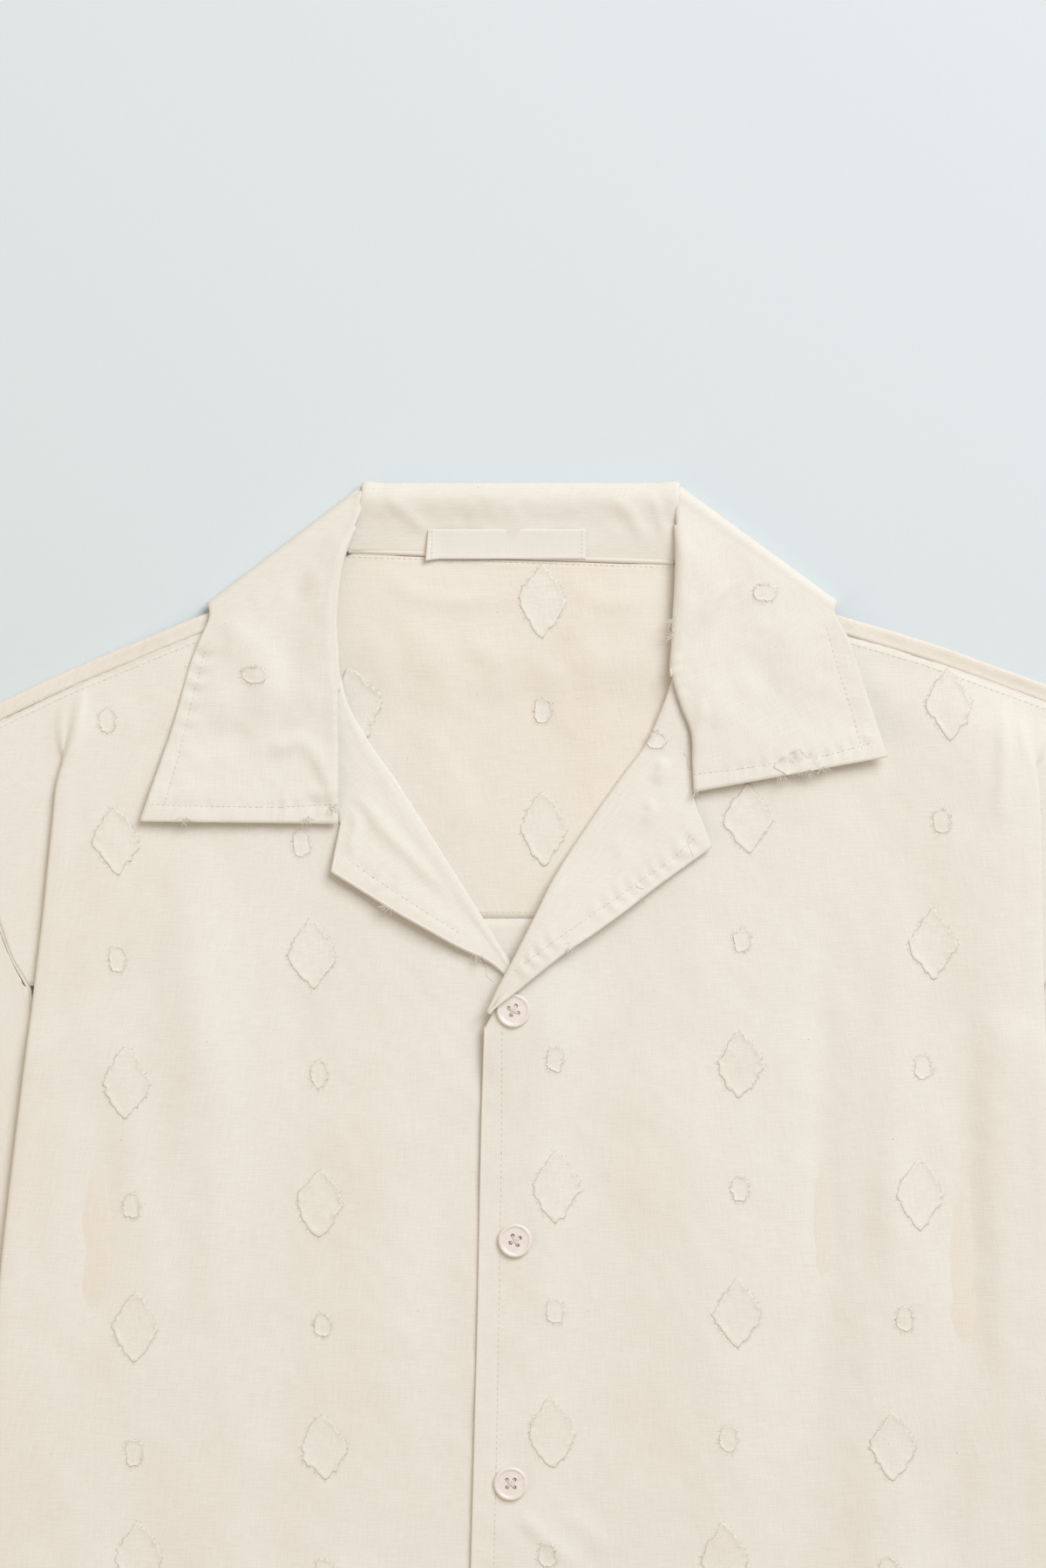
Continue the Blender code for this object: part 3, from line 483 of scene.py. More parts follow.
def spline(
    lines: np.ndarray, cell: float, turned: Sequence[int], breaks: Sequence[int], ring: bool
) -> Tuple[np.ndarray, np.ndarray]:
    """Refine a stack of lines with a smooth curve through their points.

    Args:
        lines: the points, the refined direction first.
        cell: longest step of the result, in millimetres.
        turned: steps that go round a tight turn and get at least three parts.
        breaks: points where a line keeps a corner.
        ring: whether the last point joins the first.

    Returns:
        The refined points and the number of parts of each step.
    """
    if ring:
        lines = np.concatenate((lines[-1:], lines, lines[:2]))
    steps = np.diff(lines, axis=0)
    lengths = np.maximum(np.linalg.norm(steps[..., :3], axis=2, keepdims=True), 1e-6)
    slopes = steps / lengths
    blended = (slopes[:-1] * lengths[1:] + slopes[1:] * lengths[:-1]) / (lengths[:-1] + lengths[1:])
    arriving = np.concatenate((slopes[:1], blended, slopes[-1:]))
    leaving = arriving.copy()
    for index in breaks:
        arriving[index] = slopes[index - 1]
        leaving[index] = slopes[index]
    first, last = (1, len(lines) - 2) if ring else (0, len(lines) - 1)
    parts: List[np.ndarray] = []
    repeats: List[int] = []
    for index in range(first, last):
        reach = float(np.percentile(lengths[index], 92))
        count = max(1, math.ceil(reach / cell))
        if index - first in turned:
            count = max(count, 3)
        t = (np.arange(count) / count)[:, None, None]
        parts.append(
            (2.0 * t**3 - 3.0 * t**2 + 1.0) * lines[index]
            + (t**3 - 2.0 * t**2 + t) * lengths[index] * leaving[index]
            + (3.0 * t**2 - 2.0 * t**3) * lines[index + 1]
            + (t**3 - t**2) * lengths[index] * arriving[index + 1]
        )
        repeats.append(count)
    if not ring:
        parts.append(lines[-1:])
    return np.concatenate(parts), np.array(repeats)


class ClothGrid:
    """A grid of middle points in millimetres. The fourth number says how freely the cloth creases."""

    def __init__(
        self, rows: Sequence[Sequence[Sequence[float]]], keep: Optional[Callable] = None, ring: bool = False
    ):
        """Take rows of points (x, y, z, freedom), and a test of the cells that are cloth."""
        self.points = np.array(rows, dtype=float)
        self.ring = ring
        high, wide = self.points.shape[:2]
        self.keep = np.ones((high - 1, wide if ring else wide - 1), dtype=bool)
        if keep is not None:
            for row in range(self.keep.shape[0]):
                for column in range(self.keep.shape[1]):
                    self.keep[row, column] = keep(row, column)

    def refine(
        self, cell: float, turned_rows: Sequence[int] = (), turned_columns: Sequence[int] = (),
        row_breaks: Sequence[int] = (),
    ) -> "ClothGrid":
        """Refine both directions and give the grid back."""
        self.points, row_repeats = spline(self.points, cell, turned_rows, row_breaks, False)
        turned = np.swapaxes(self.points, 0, 1)
        turned, column_repeats = spline(turned, cell, turned_columns, (), self.ring)
        self.points = np.swapaxes(turned, 0, 1)
        self.keep = np.repeat(np.repeat(self.keep, row_repeats, axis=0), column_repeats, axis=1)
        return self

    def raise_by(self, relief: Relief) -> "ClothGrid":
        """Lift the free cloth by a relief and give the grid back."""
        freedom = np.clip(self.points[..., 3], 0.0, 1.0)
        self.points[..., 2] += freedom * relief.rise(self.points[..., 0], self.points[..., 1])
        return self

    def area(self) -> float:
        """Area of the cloth in square metres."""
        flat, faces, _ = self._cells()
        quads = flat[faces]
        crossed = np.cross(quads[:, 2] - quads[:, 0], quads[:, 3] - quads[:, 1])
        return float(np.linalg.norm(crossed, axis=1).sum()) / 2.0 * MILLIMETRE**2

    def _cells(self) -> Tuple[np.ndarray, np.ndarray, np.ndarray]:
        """The points in one list, the faces that are cloth and the cloth's coordinates at their corners."""
        grid = self.points[..., :3]
        high, wide = grid.shape[:2]
        index = np.arange(high * wide).reshape(high, wide)
        closed = np.concatenate((grid, grid[:, :1]), axis=1) if self.ring else grid
        if self.ring:
            index = np.concatenate((index, index[:, :1]), axis=1)
        across = np.linalg.norm(np.diff(closed, axis=1), axis=2)
        across = np.concatenate((np.zeros((high, 1)), np.cumsum(across, axis=1)), axis=1)
        lengthwise = np.linalg.norm(np.diff(closed, axis=0), axis=2)
        lengthwise = np.concatenate((np.zeros((1, closed.shape[1])), np.cumsum(lengthwise, axis=0)), axis=0)
        places = np.stack((across, lengthwise), axis=-1) * MILLIMETRE
        corners = (
            (slice(None, -1), slice(None, -1)), (slice(None, -1), slice(1, None)),
            (slice(1, None), slice(1, None)), (slice(1, None), slice(None, -1)),
        )
        faces = np.stack([index[corner] for corner in corners], axis=-1)[self.keep]
        coordinates = np.stack([places[corner] for corner in corners], axis=-2)[self.keep]
        return grid.reshape(-1, 3), faces, coordinates

    def shell(
        self, name: str, thickness: float, material: Material, bulge: float = 0.12
    ) -> Thing:
        """Thicken the cloth to both sides and round its free edges.

        Args:
            name: the piece's name.
            thickness: the cloth's thickness.
            material: the cloth's finish.
            bulge: how far a free edge swells outwards.

        Returns:
            The closed shell.
        """
        flat, faces, coordinates = self._cells()
        used, inverse = np.unique(faces, return_inverse=True)
        faces = inverse.reshape(faces.shape)
        points = flat[used]
        points[:, 2] = np.maximum(points[:, 2], thickness / 2.0)
        count = len(points)
        quads = points[faces]
        facing = np.cross(quads[:, 2] - quads[:, 0], quads[:, 3] - quads[:, 1])
        normals = np.zeros_like(points)
        for corner in range(4):
            np.add.at(normals, faces[:, corner], facing)
        normals /= np.maximum(np.linalg.norm(normals, axis=1, keepdims=True), 1e-12)
        offset = normals * (thickness / 2.0)
        starts = faces.ravel()
        ends = np.roll(faces, -1, axis=1).ravel()
        edge_places = np.stack((coordinates, np.roll(coordinates, -1, axis=1)), axis=2).reshape(-1, 2, 2)
        free = ~np.isin(starts * count + ends, ends * count + starts)
        starts, ends, edge_places = starts[free], ends[free], edge_places[free]
        run = points[ends] - points[starts]
        away = np.cross(run, normals[starts] + normals[ends])
        outward = np.zeros_like(points)
        np.add.at(outward, starts, away)
        np.add.at(outward, ends, away)
        rim, rim_index = np.unique(np.concatenate((starts, ends)), return_inverse=True)
        outward = outward[rim] / np.maximum(np.linalg.norm(outward[rim], axis=1, keepdims=True), 1e-12)
        middle = points[rim] + outward * bulge
        solid = np.concatenate((points + offset, points - offset, middle))
        from_rim = rim_index[: len(starts)] + 2 * count
        to_rim = rim_index[len(starts):] + 2 * count
        all_faces = np.concatenate((
            faces,
            faces[:, ::-1] + count,
            np.stack((ends, starts, from_rim, to_rim), axis=-1),
            np.stack((to_rim, from_rim, starts + count, ends + count), axis=-1),
        ))
        start_place, end_place = edge_places[:, 0], edge_places[:, 1]
        places = np.concatenate((
            coordinates,
            coordinates[:, ::-1],
            np.stack((end_place, start_place, start_place, end_place), axis=1),
            np.stack((end_place, start_place, start_place, end_place), axis=1),
        ))
        return make_mesh(name, solid, all_faces.tolist(), material, places.reshape(-1, 2))


class Draper:
    """Finds a cloth piece's upper surface."""

    def __init__(self, host: Thing):
        """Take the piece whose surface is looked for."""
        points = [tuple(vertex.co / MILLIMETRE) for vertex in host.data.vertices]
        self.tree = BVHTree.FromPolygons(points, [tuple(polygon.vertices) for polygon in host.data.polygons])

    def drop(self, x: float, y: float) -> Optional[float]:
        """The level of the surface at a place, or None beside the cloth."""
        hit = self.tree.ray_cast(Vector((x, y, DROP_HEIGHT)), DOWN)[0]
        return None if hit is None else hit.z

    def lay(self, line: Sequence[Spot], step: float, lift: float) -> List[List[Place]]:
        """Lay a bent line on the surface.

        Args:
            line: the line's corners.
            step: distance between the laid points.
            lift: height above the surface.

        Returns:
            The laid stretches, broken where the line leaves the cloth.
        """
        stretches = [[]]
        total = float(np.sum(np.linalg.norm(np.diff(np.array(line), axis=0), axis=1)))
        count = max(2, math.ceil(total / step))
        for index in range(count + 1):
            x, y = along(line, index / count)
            found = self.drop(float(x), float(y))
            if found is not None:
                stretches[-1].append((float(x), float(y), found + lift))
            elif stretches[-1]:
                stretches.append([])
        return [stretch for stretch in stretches if len(stretch) > 1]


class Wire:
    """A node's output socket that takes part in Python expressions."""

    def __init__(self, board: "Board", socket: bpy.types.NodeSocket):
        """Wrap a socket of a board."""
        self.board = board
        self.socket = socket

    def _join(self, operation: str, first: object, second: object) -> "Wire":
        """One Math node on two values."""
        return self.board.node("ShaderNodeMath", {"operation": operation}, {0: first, 1: second})

    def __add__(self, other: object) -> "Wire":
        """Sum."""
        return self._join("ADD", self, other)

    def __radd__(self, other: object) -> "Wire":
        """Sum with a number first."""
        return self._join("ADD", other, self)

    def __sub__(self, other: object) -> "Wire":
        """Difference."""
        return self._join("SUBTRACT", self, other)

    def __rsub__(self, other: object) -> "Wire":
        """Difference with a number first."""
        return self._join("SUBTRACT", other, self)

    def __mul__(self, other: object) -> "Wire":
        """Product."""
        return self._join("MULTIPLY", self, other)

    def __rmul__(self, other: object) -> "Wire":
        """Product with a number first."""
        return self._join("MULTIPLY", other, self)

    def below(self, other: object) -> "Wire":
        """1 where this is less than the other."""
        return self._join("LESS_THAN", self, other)


class Board:
    """A node tree that is filled one node at a time."""

    def __init__(self, tree: bpy.types.NodeTree):
        """Take the tree to fill."""
        self.tree = tree

    def node(
        self, kind: str, settings: Dict[str, object], inputs: Dict[Union[int, str], object],
        output: Union[int, str] = 0,
    ) -> Wire:
        """Add a node.

        Args:
            kind: the node's type.
            settings: its properties, which are set first.
            inputs: values or wires for its input sockets.
            output: the output socket that is given back.

        Returns:
            The wire of the chosen output.
        """
        made = self.tree.nodes.new(kind)
        for name, value in settings.items():
            setattr(made, name, value)
        for key, value in inputs.items():
            socket = made.inputs[key]
            if isinstance(value, Wire):
                self.tree.links.new(value.socket, socket)
            else:
                socket.default_value = value
        return Wire(self, made.outputs[output] if made.outputs else None)

    def blend(self, factor: object, first: object, second: object) -> Wire:
        """Mix two colours."""
        return self.node(
            "ShaderNodeMix", {"data_type": "RGBA"},
            {"Factor": factor, 6: first, 7: second}, 2,
        )

    def scaled(self, vector: Wire, by: Place) -> Wire:
        """A vector times three numbers."""
        return self.node("ShaderNodeVectorMath", {"operation": "MULTIPLY"}, {0: vector, 1: by})

    def noise(self, vector: Wire, detail: float = 2.0, roughness: float = 0.5) -> Wire:
        """Noise from 0 to 1 at scale 1."""
        return self.node(
            "ShaderNodeTexNoise", {},
            {"Vector": vector, "Scale": 1.0, "Detail": detail, "Roughness": roughness}, 0,
        )


@dataclass(frozen=True)
class Finish:
    """Base of the finishes: a named material on one Principled shader."""

    name: str

    def make(self) -> Material:
        """Build the material from the finish's constants and wires."""
        material = bpy.data.materials.new(self.name)
        material.use_nodes = True
        material.node_tree.nodes.clear()
        board = Board(material.node_tree)
        shader = board.node("ShaderNodeBsdfPrincipled", {}, {**self.constants(), **self.wires(board)})
        board.node("ShaderNodeOutputMaterial", {}, {"Surface": shader})
        return material

    def constants(self) -> Dict[str, object]:
        """Values for the shader's own sockets."""
        raise NotImplementedError

    def wires(self, board: Board) -> Dict[str, object]:
        """Wires for the shader's varying sockets."""
        raise NotImplementedError


@dataclass(frozen=True)
class CottonFinish(Finish):
    """Unbleached plain-woven cotton: uneven threads, slubs, a few seed flecks and a faint nap."""

    colour: Colour = (0.862, 0.835, 0.778, 1.0)
    warm_colour: Colour = (0.832, 0.785, 0.708, 1.0)
    fleck_colour: Colour = (0.30, 0.19, 0.10, 1.0)
    thread_width: float = 0.00062
    slub_length: float = 0.013
    fleck_cell: float = 0.010
    fleck_share: float = 0.36
    bump: float = 0.55
    on_cloth: bool = True

    def constants(self) -> Dict[str, object]:
        """A faint nap."""
        return {"Sheen Weight": 0.12, "Sheen Roughness": 0.55, "Specular IOR Level": 0.25}

    def wires(self, board: Board) -> Dict[str, object]:
        """Colour and bump of the weave."""
        if self.on_cloth:
            place = board.node("ShaderNodeUVMap", {"uv_map": "cloth"}, {})
        else:
            place = board.node("ShaderNodeTexCoord", {}, {}, "Object")
        fine, long = 1.0 / self.thread_width, 1.0 / self.slub_length
        warp = board.noise(board.scaled(place, (fine, long, fine)), 2.0, 0.6)
        weft = board.noise(board.scaled(place, (long, fine, long)), 2.0, 0.6)
        grain = board.noise(board.scaled(place, (0.6 * fine,) * 3), 2.0, 0.7)
        tone = board.noise(board.scaled(place, (11.0, 7.0, 9.0)), 2.0, 0.5)
        weave = warp * 0.5 + weft * 0.5
        base = board.blend((tone - 0.35) * 1.6, self.colour, self.warm_colour)
        dark = board.node(
            "ShaderNodeMix", {"data_type": "RGBA", "blend_type": "MULTIPLY"},
            {"Factor": 1.0, 6: base, 7: (0.86, 0.83, 0.79, 1.0)}, 2,
        )
        threads = board.blend((1.0 - weave - 0.38) * 1.7 + (grain - 0.5) * 0.5, base, dark)
        cell = 1.0 / self.fleck_cell
        spread = board.scaled(place, (cell, cell, cell))
        flecks = board.node("ShaderNodeTexVoronoi", {}, {"Vector": spread, "Scale": 1.0}, 0)
        voronoi = Wire(board, flecks.socket.node.outputs["Color"])
        chance = board.node("ShaderNodeSeparateColor", {}, {"Color": voronoi}, 0)
        size = board.node("ShaderNodeSeparateColor", {}, {"Color": voronoi}, 1)
        shown = flecks.below(size * 0.028 + 0.008) * chance.below(self.fleck_share)
        colour = board.blend(shown * 0.55, threads, self.fleck_colour)
        height = weave * 0.7 + grain * 0.3
        normal = board.node(
            "ShaderNodeBump", {}, {"Height": height, "Strength": self.bump, "Distance": 0.00035}
        )
        return {"Base Color": colour, "Roughness": 0.97 - weave * 0.1, "Normal": normal}


@dataclass(frozen=True)
class ThreadFinish(Finish):
    """Cotton sewing thread or loose fibre, finely twisted."""

    colour: Colour
    twist: float = 0.0005

    def constants(self) -> Dict[str, object]:
        """A dull thread."""
        return {"Sheen Weight": 0.1, "Specular IOR Level": 0.3}

    def wires(self, board: Board) -> Dict[str, object]:
        """Colour that changes along the twist."""
        place = board.node("ShaderNodeTexCoord", {}, {}, "Object")
        twist = board.noise(board.scaled(place, (1.0 / self.twist,) * 3), 1.0)
        darker = tuple(0.84 * part for part in self.colour[:3]) + (1.0,)
        return {"Base Color": board.blend(twist, self.colour, darker), "Roughness": 0.8 + twist * 0.15}


@dataclass(frozen=True)
class TapeFinish(Finish):
    """Off-white woven tape with fine crosswise ribs."""

    colour: Colour = (0.86, 0.835, 0.78, 1.0)
    rib: float = 0.00045

    def constants(self) -> Dict[str, object]:
        """A dull tape."""
        return {"Sheen Weight": 0.15, "Specular IOR Level": 0.3}

    def wires(self, board: Board) -> Dict[str, object]:
        """Colour and bump of the tape's ribs."""
        place = board.node("ShaderNodeTexCoord", {}, {}, "Object")
        ribs = board.noise(board.scaled(place, (1.0 / self.rib, 120.0, 120.0)), 2.0)
        cross = board.noise(board.scaled(place, (90.0, 1.0 / self.rib, 90.0)), 2.0)
        height = ribs * 0.6 + cross * 0.4
        darker = (0.80, 0.765, 0.70, 1.0)
        normal = board.node("ShaderNodeBump", {}, {"Height": height, "Strength": 0.3, "Distance": 0.0003})
        return {
            "Base Color": board.blend((height - 0.35) * 1.4, self.colour, darker),
            "Roughness": 0.85 + ribs * 0.1,
            "Normal": normal,
        }


@dataclass(frozen=True)
class ShellFinish(Finish):
    """Pearly pinkish white button with a soft cloud in it and a clear coat."""

    colour: Colour = (0.90, 0.84, 0.80, 1.0)
    cloud: Colour = (0.80, 0.715, 0.665, 1.0)

    def constants(self) -> Dict[str, object]:
        """A clear polish."""
        return {"Coat Weight": 0.35, "Coat Roughness": 0.12, "Specular IOR Level": 0.5}

    def wires(self, board: Board) -> Dict[str, object]:
        """Cloudy colour and a slightly uneven polish."""
        place = board.node("ShaderNodeTexCoord", {}, {}, "Object")
        cloud = board.noise(board.scaled(place, (190.0, 320.0, 250.0)), 3.0, 0.55)
        return {
            "Base Color": board.blend((cloud - 0.32) * 1.5, self.colour, self.cloud),
            "Roughness": 0.22 + cloud * 0.16,
        }


@dataclass(frozen=True)
class FloorFinish(Finish):
    """Plain pale blue-grey paper."""

    colour: Colour = (0.73, 0.795, 0.83, 1.0)

    def constants(self) -> Dict[str, object]:
        """Hardly any gloss."""
        return {"Specular IOR Level": 0.1}

    def wires(self, board: Board) -> Dict[str, object]:
        """A very faint tooth."""
        place = board.node("ShaderNodeTexCoord", {}, {}, "Object")
        tooth = board.noise(board.scaled(place, (900.0,) * 3), 2.0)
        darker = tuple(0.97 * part for part in self.colour[:3]) + (1.0,)
        return {"Base Color": board.blend(tooth, self.colour, darker), "Roughness": 0.9 + tooth * 0.08}


class Finishes:
    """Every material of the shirt, made once."""

    def __init__(self) -> None:
        """Make the materials."""
        self.cotton = CottonFinish("cotton_dressed").make()
        self.facing = CottonFinish("cotton_facing", slub_length=0.011).make()
        # A warmer, darker copy of the cotton: painted shade for the inside of the shirt seen through the neck,
        # and for the seam gaps where the allowances show.
        self.inside = CottonFinish(
            "cotton_inside", colour=(0.86, 0.82, 0.755, 1.0), warm_colour=(0.835, 0.755, 0.65, 1.0)
        ).make()
        self.motif = CottonFinish(
            "cotton_motif", colour=(0.86, 0.83, 0.77, 1.0), warm_colour=(0.83, 0.79, 0.715, 1.0),
            thread_width=0.0007, slub_length=0.006, fleck_share=0.15, bump=0.6, on_cloth=False,
        ).make()
        self.fray = ThreadFinish("cotton_fray", (0.88, 0.85, 0.79, 1.0)).make()
        # The sewing thread is darker and warmer than the cloth: partly its own tone, partly painted shade for
        # the small dimples of the stitches.
        self.thread = ThreadFinish("sewing_thread", (0.82, 0.77, 0.69, 1.0)).make()
        self.tape = TapeFinish("label_tape_dressed").make()
        self.shell = ShellFinish("button_shell_dressed").make()
        self.floor = FloorFinish("floor_paper").make()


class StrandTree:
    """Base of the Geometry Nodes trees: a tree with named inputs that ends in plain mesh."""

    title = "strands"
    sizes: Dict[str, Tuple[str, float]] = {}

    def __init__(self) -> None:
        """Build the tree once."""
        self.tree = bpy.data.node_groups.new(self.title, "GeometryNodeTree")
        face = self.tree.interface
        face.new_socket("Geometry", in_out="INPUT", socket_type="NodeSocketGeometry")
        self.keys: Dict[str, str] = {}
        for name, (kind, value) in self.sizes.items():
            socket = face.new_socket(name, in_out="INPUT", socket_type=kind)
            socket.default_value = value
            self.keys[name] = socket.identifier
        finish = face.new_socket("Finish", in_out="INPUT", socket_type="NodeSocketMaterial")
        self.keys["Finish"] = finish.identifier
        face.new_socket("Geometry", in_out="OUTPUT", socket_type="NodeSocketGeometry")
        board = Board(self.tree)
        source = self.tree.nodes.new("NodeGroupInput")
        given = {socket.name: Wire(board, socket) for socket in source.outputs if socket.name}
        shape = self.build(board, given)
        plain = board.node("GeometryNodeRealizeInstances", {}, {"Geometry": shape})
        dressed = board.node("GeometryNodeSetMaterial", {}, {"Geometry": plain, "Material": given["Finish"]})
        self.tree.links.new(dressed.socket, self.tree.nodes.new("NodeGroupOutput").inputs[0])

    def build(self, board: Board, given: Dict[str, Wire]) -> Wire:
        """Give the shape before it is realised."""
        raise NotImplementedError

    def run(self, name: str, mesh: Mesh, finish: Material, sizes: Dict[str, float]) -> Thing:
        """Run the tree on a mesh.

        Args:
            name: the piece's name.
            mesh: the points or lines that the tree works on.
            finish: the material of the result.
            sizes: values of the tree's named inputs.

        Returns:
            A plain mesh piece, without the modifier.
        """
        carrier = bpy.data.objects.new(name + "_lines", mesh)
        bpy.context.scene.collection.objects.link(carrier)
        modifier = carrier.modifiers.new(self.title, "NODES")
        modifier.node_group = self.tree
        for key, value in sizes.items():
            modifier[self.keys[key]] = value
        modifier[self.keys["Finish"]] = finish
        bpy.context.view_layer.update()
        graph = bpy.context.evaluated_depsgraph_get()
        plain = bpy.data.meshes.new_from_object(carrier.evaluated_get(graph))
        plain.name = name
        bpy.data.objects.remove(carrier, do_unlink=True)
        bpy.data.meshes.remove(mesh)
        if not plain.materials:
            plain.materials.append(finish)
        plain.shade_smooth()
        piece = bpy.data.objects.new(name, plain)
        bpy.context.scene.collection.objects.link(piece)
        return piece


class StitchTree(StrandTree):
    """Single stitches at an even pitch along sewn lines."""

    title = "stitches"
    sizes = {
        "Pitch": ("NodeSocketFloat", 0.0028), "Length": ("NodeSocketFloat", 0.0019),
        "Thickness": ("NodeSocketFloat", 0.0005), "Seed": ("NodeSocketInt", 5),
    }

    def build(self, board: Board, given: Dict[str, Wire]) -> Wire:
        """Lines, evenly spaced points and one small grain of thread on each."""
        curve = board.node("GeometryNodeMeshToCurve", {}, {"Mesh": given["Geometry"]})
        pitch = {"Curve": curve, "Length": given["Pitch"]}
        even = board.node("GeometryNodeResampleCurve", {"mode": "LENGTH"}, pitch)
        grain = board.node("GeometryNodeMeshIcoSphere", {}, {"Radius": 0.5, "Subdivisions": 2})
        size = board.node(
            "ShaderNodeCombineXYZ", {}, {"X": given["Length"], "Y": given["Thickness"], "Z": given["Thickness"]}
        )
        stitch = board.node("GeometryNodeTransform", {}, {"Geometry": grain, "Scale": size})
        ahead = board.node("GeometryNodeInputTangent", {}, {})
        turn = board.node("FunctionNodeAlignRotationToVector", {"axis": "X"}, {"Vector": ahead})
        chance = board.node(
            "FunctionNodeRandomValue", {"data_type": "FLOAT"}, {2: 0.82, 3: 1.12, "Seed": given["Seed"]}, 1
        )
        return board.node(
            "GeometryNodeInstanceOnPoints", {},
            {"Points": even, "Instance": stitch, "Rotation": turn, "Scale": chance},
        )


class FrayTree(StrandTree):
    """Short curved fibres that leave each point along its own direction."""

    title = "fray"
    sizes = {
        "Length": ("NodeSocketFloat", 0.0018), "Radius": ("NodeSocketFloat", 0.00007),
        "Spread": ("NodeSocketFloat", 0.7), "Seed": ("NodeSocketInt", 11),
    }

    def build(self, board: Board, given: Dict[str, Wire]) -> Wire:
        """A bent fibre on each point, turned along the attribute called away and a little at random."""
        middle = board.node(
            "ShaderNodeCombineXYZ", {}, {"X": given["Length"] * 0.55, "Y": 0.0, "Z": given["Length"] * 0.35}
        )
        end = board.node(
            "ShaderNodeCombineXYZ", {},
            {"X": given["Length"], "Y": given["Length"] * 0.2, "Z": given["Length"] * 0.1},
        )
        line = board.node(
            "GeometryNodeCurveQuadraticBezier", {},
            {"Resolution": 3, "Start": (0.0, 0.0, 0.0), "Middle": middle, "End": end},
        )
        ring = board.node("GeometryNodeCurvePrimitiveCircle", {}, {"Resolution": 3, "Radius": given["Radius"]})
        capped_line = {"Curve": line, "Profile Curve": ring, "Fill Caps": True}
        fibre = board.node("GeometryNodeCurveToMesh", {}, capped_line)
        away = board.node("GeometryNodeInputNamedAttribute", {"data_type": "FLOAT_VECTOR"}, {"Name": "away"})
        spread = given["Spread"]
        low, high = (
            board.node("ShaderNodeCombineXYZ", {}, {axis: spread * share for axis, share in enumerate(shares)})
            for shares in ((-0.5, -0.6, -1.0), (0.5, 0.1, 1.0))
        )
        wander = board.node(
            "FunctionNodeRandomValue", {"data_type": "FLOAT_VECTOR"},
            {0: low, 1: high, "Seed": given["Seed"]}, 0,
        )
        aim = board.node("FunctionNodeAlignRotationToVector", {"axis": "X"}, {"Vector": away})
        by = board.node("FunctionNodeEulerToRotation", {}, {0: wander})
        turn = board.node("FunctionNodeRotateRotation", {"rotation_space": "LOCAL"}, {0: aim, 1: by})
        chance = board.node(
            "FunctionNodeRandomValue", {"data_type": "FLOAT"}, {2: 0.45, 3: 1.35, "Seed": given["Seed"]}, 1
        )
        points = board.node("GeometryNodeMeshToPoints", {}, {"Mesh": given["Geometry"]})
        return board.node(
            "GeometryNodeInstanceOnPoints", {},
            {"Points": points, "Instance": fibre, "Rotation": turn, "Scale": chance},
        )


class CordTree(StrandTree):
    """A round strand along each line: loose threads, edge folds and the thread in the buttons."""

    title = "cord"
    sizes = {"Radius": ("NodeSocketFloat", 0.0002), "Sides": ("NodeSocketInt", 6)}

    def build(self, board: Board, given: Dict[str, Wire]) -> Wire:
        """The lines as round strands with closed ends."""
        curve = board.node("GeometryNodeMeshToCurve", {}, {"Mesh": given["Geometry"]})
        ring = board.node(
            "GeometryNodeCurvePrimitiveCircle", {}, {"Resolution": given["Sides"], "Radius": given["Radius"]}
        )
        capped_line = {"Curve": curve, "Profile Curve": ring, "Fill Caps": True}
        return board.node("GeometryNodeCurveToMesh", {}, capped_line)


def line_mesh(stretches: Sequence[Sequence[Place]]) -> Mesh:
    """A mesh of bare lines, from points in millimetres."""
    mesh = bpy.data.meshes.new("lines")
    points: List[Tuple[float, ...]] = []
    edges: List[Tuple[int, int]] = []
    for stretch in stretches:
        base = len(points)
        points += [tuple(part * MILLIMETRE for part in point) for point in stretch]
        edges += [(base + index, base + index + 1) for index in range(len(stretch) - 1)]
    mesh.from_pydata(points, edges, [])
    return mesh


def point_mesh(points: Sequence[Sequence[float]], away: Sequence[Sequence[float]]) -> Mesh:
    """A mesh of bare points, from millimetres, that keeps the direction of each as an attribute."""
    mesh = bpy.data.meshes.new("points")
    mesh.from_pydata([tuple(part * MILLIMETRE for part in point) for point in points], [], [])
    layer = mesh.attributes.new("away", "FLOAT_VECTOR", "POINT")
    layer.data.foreach_set("vector", np.array(away, dtype=np.float32).ravel())
    return mesh


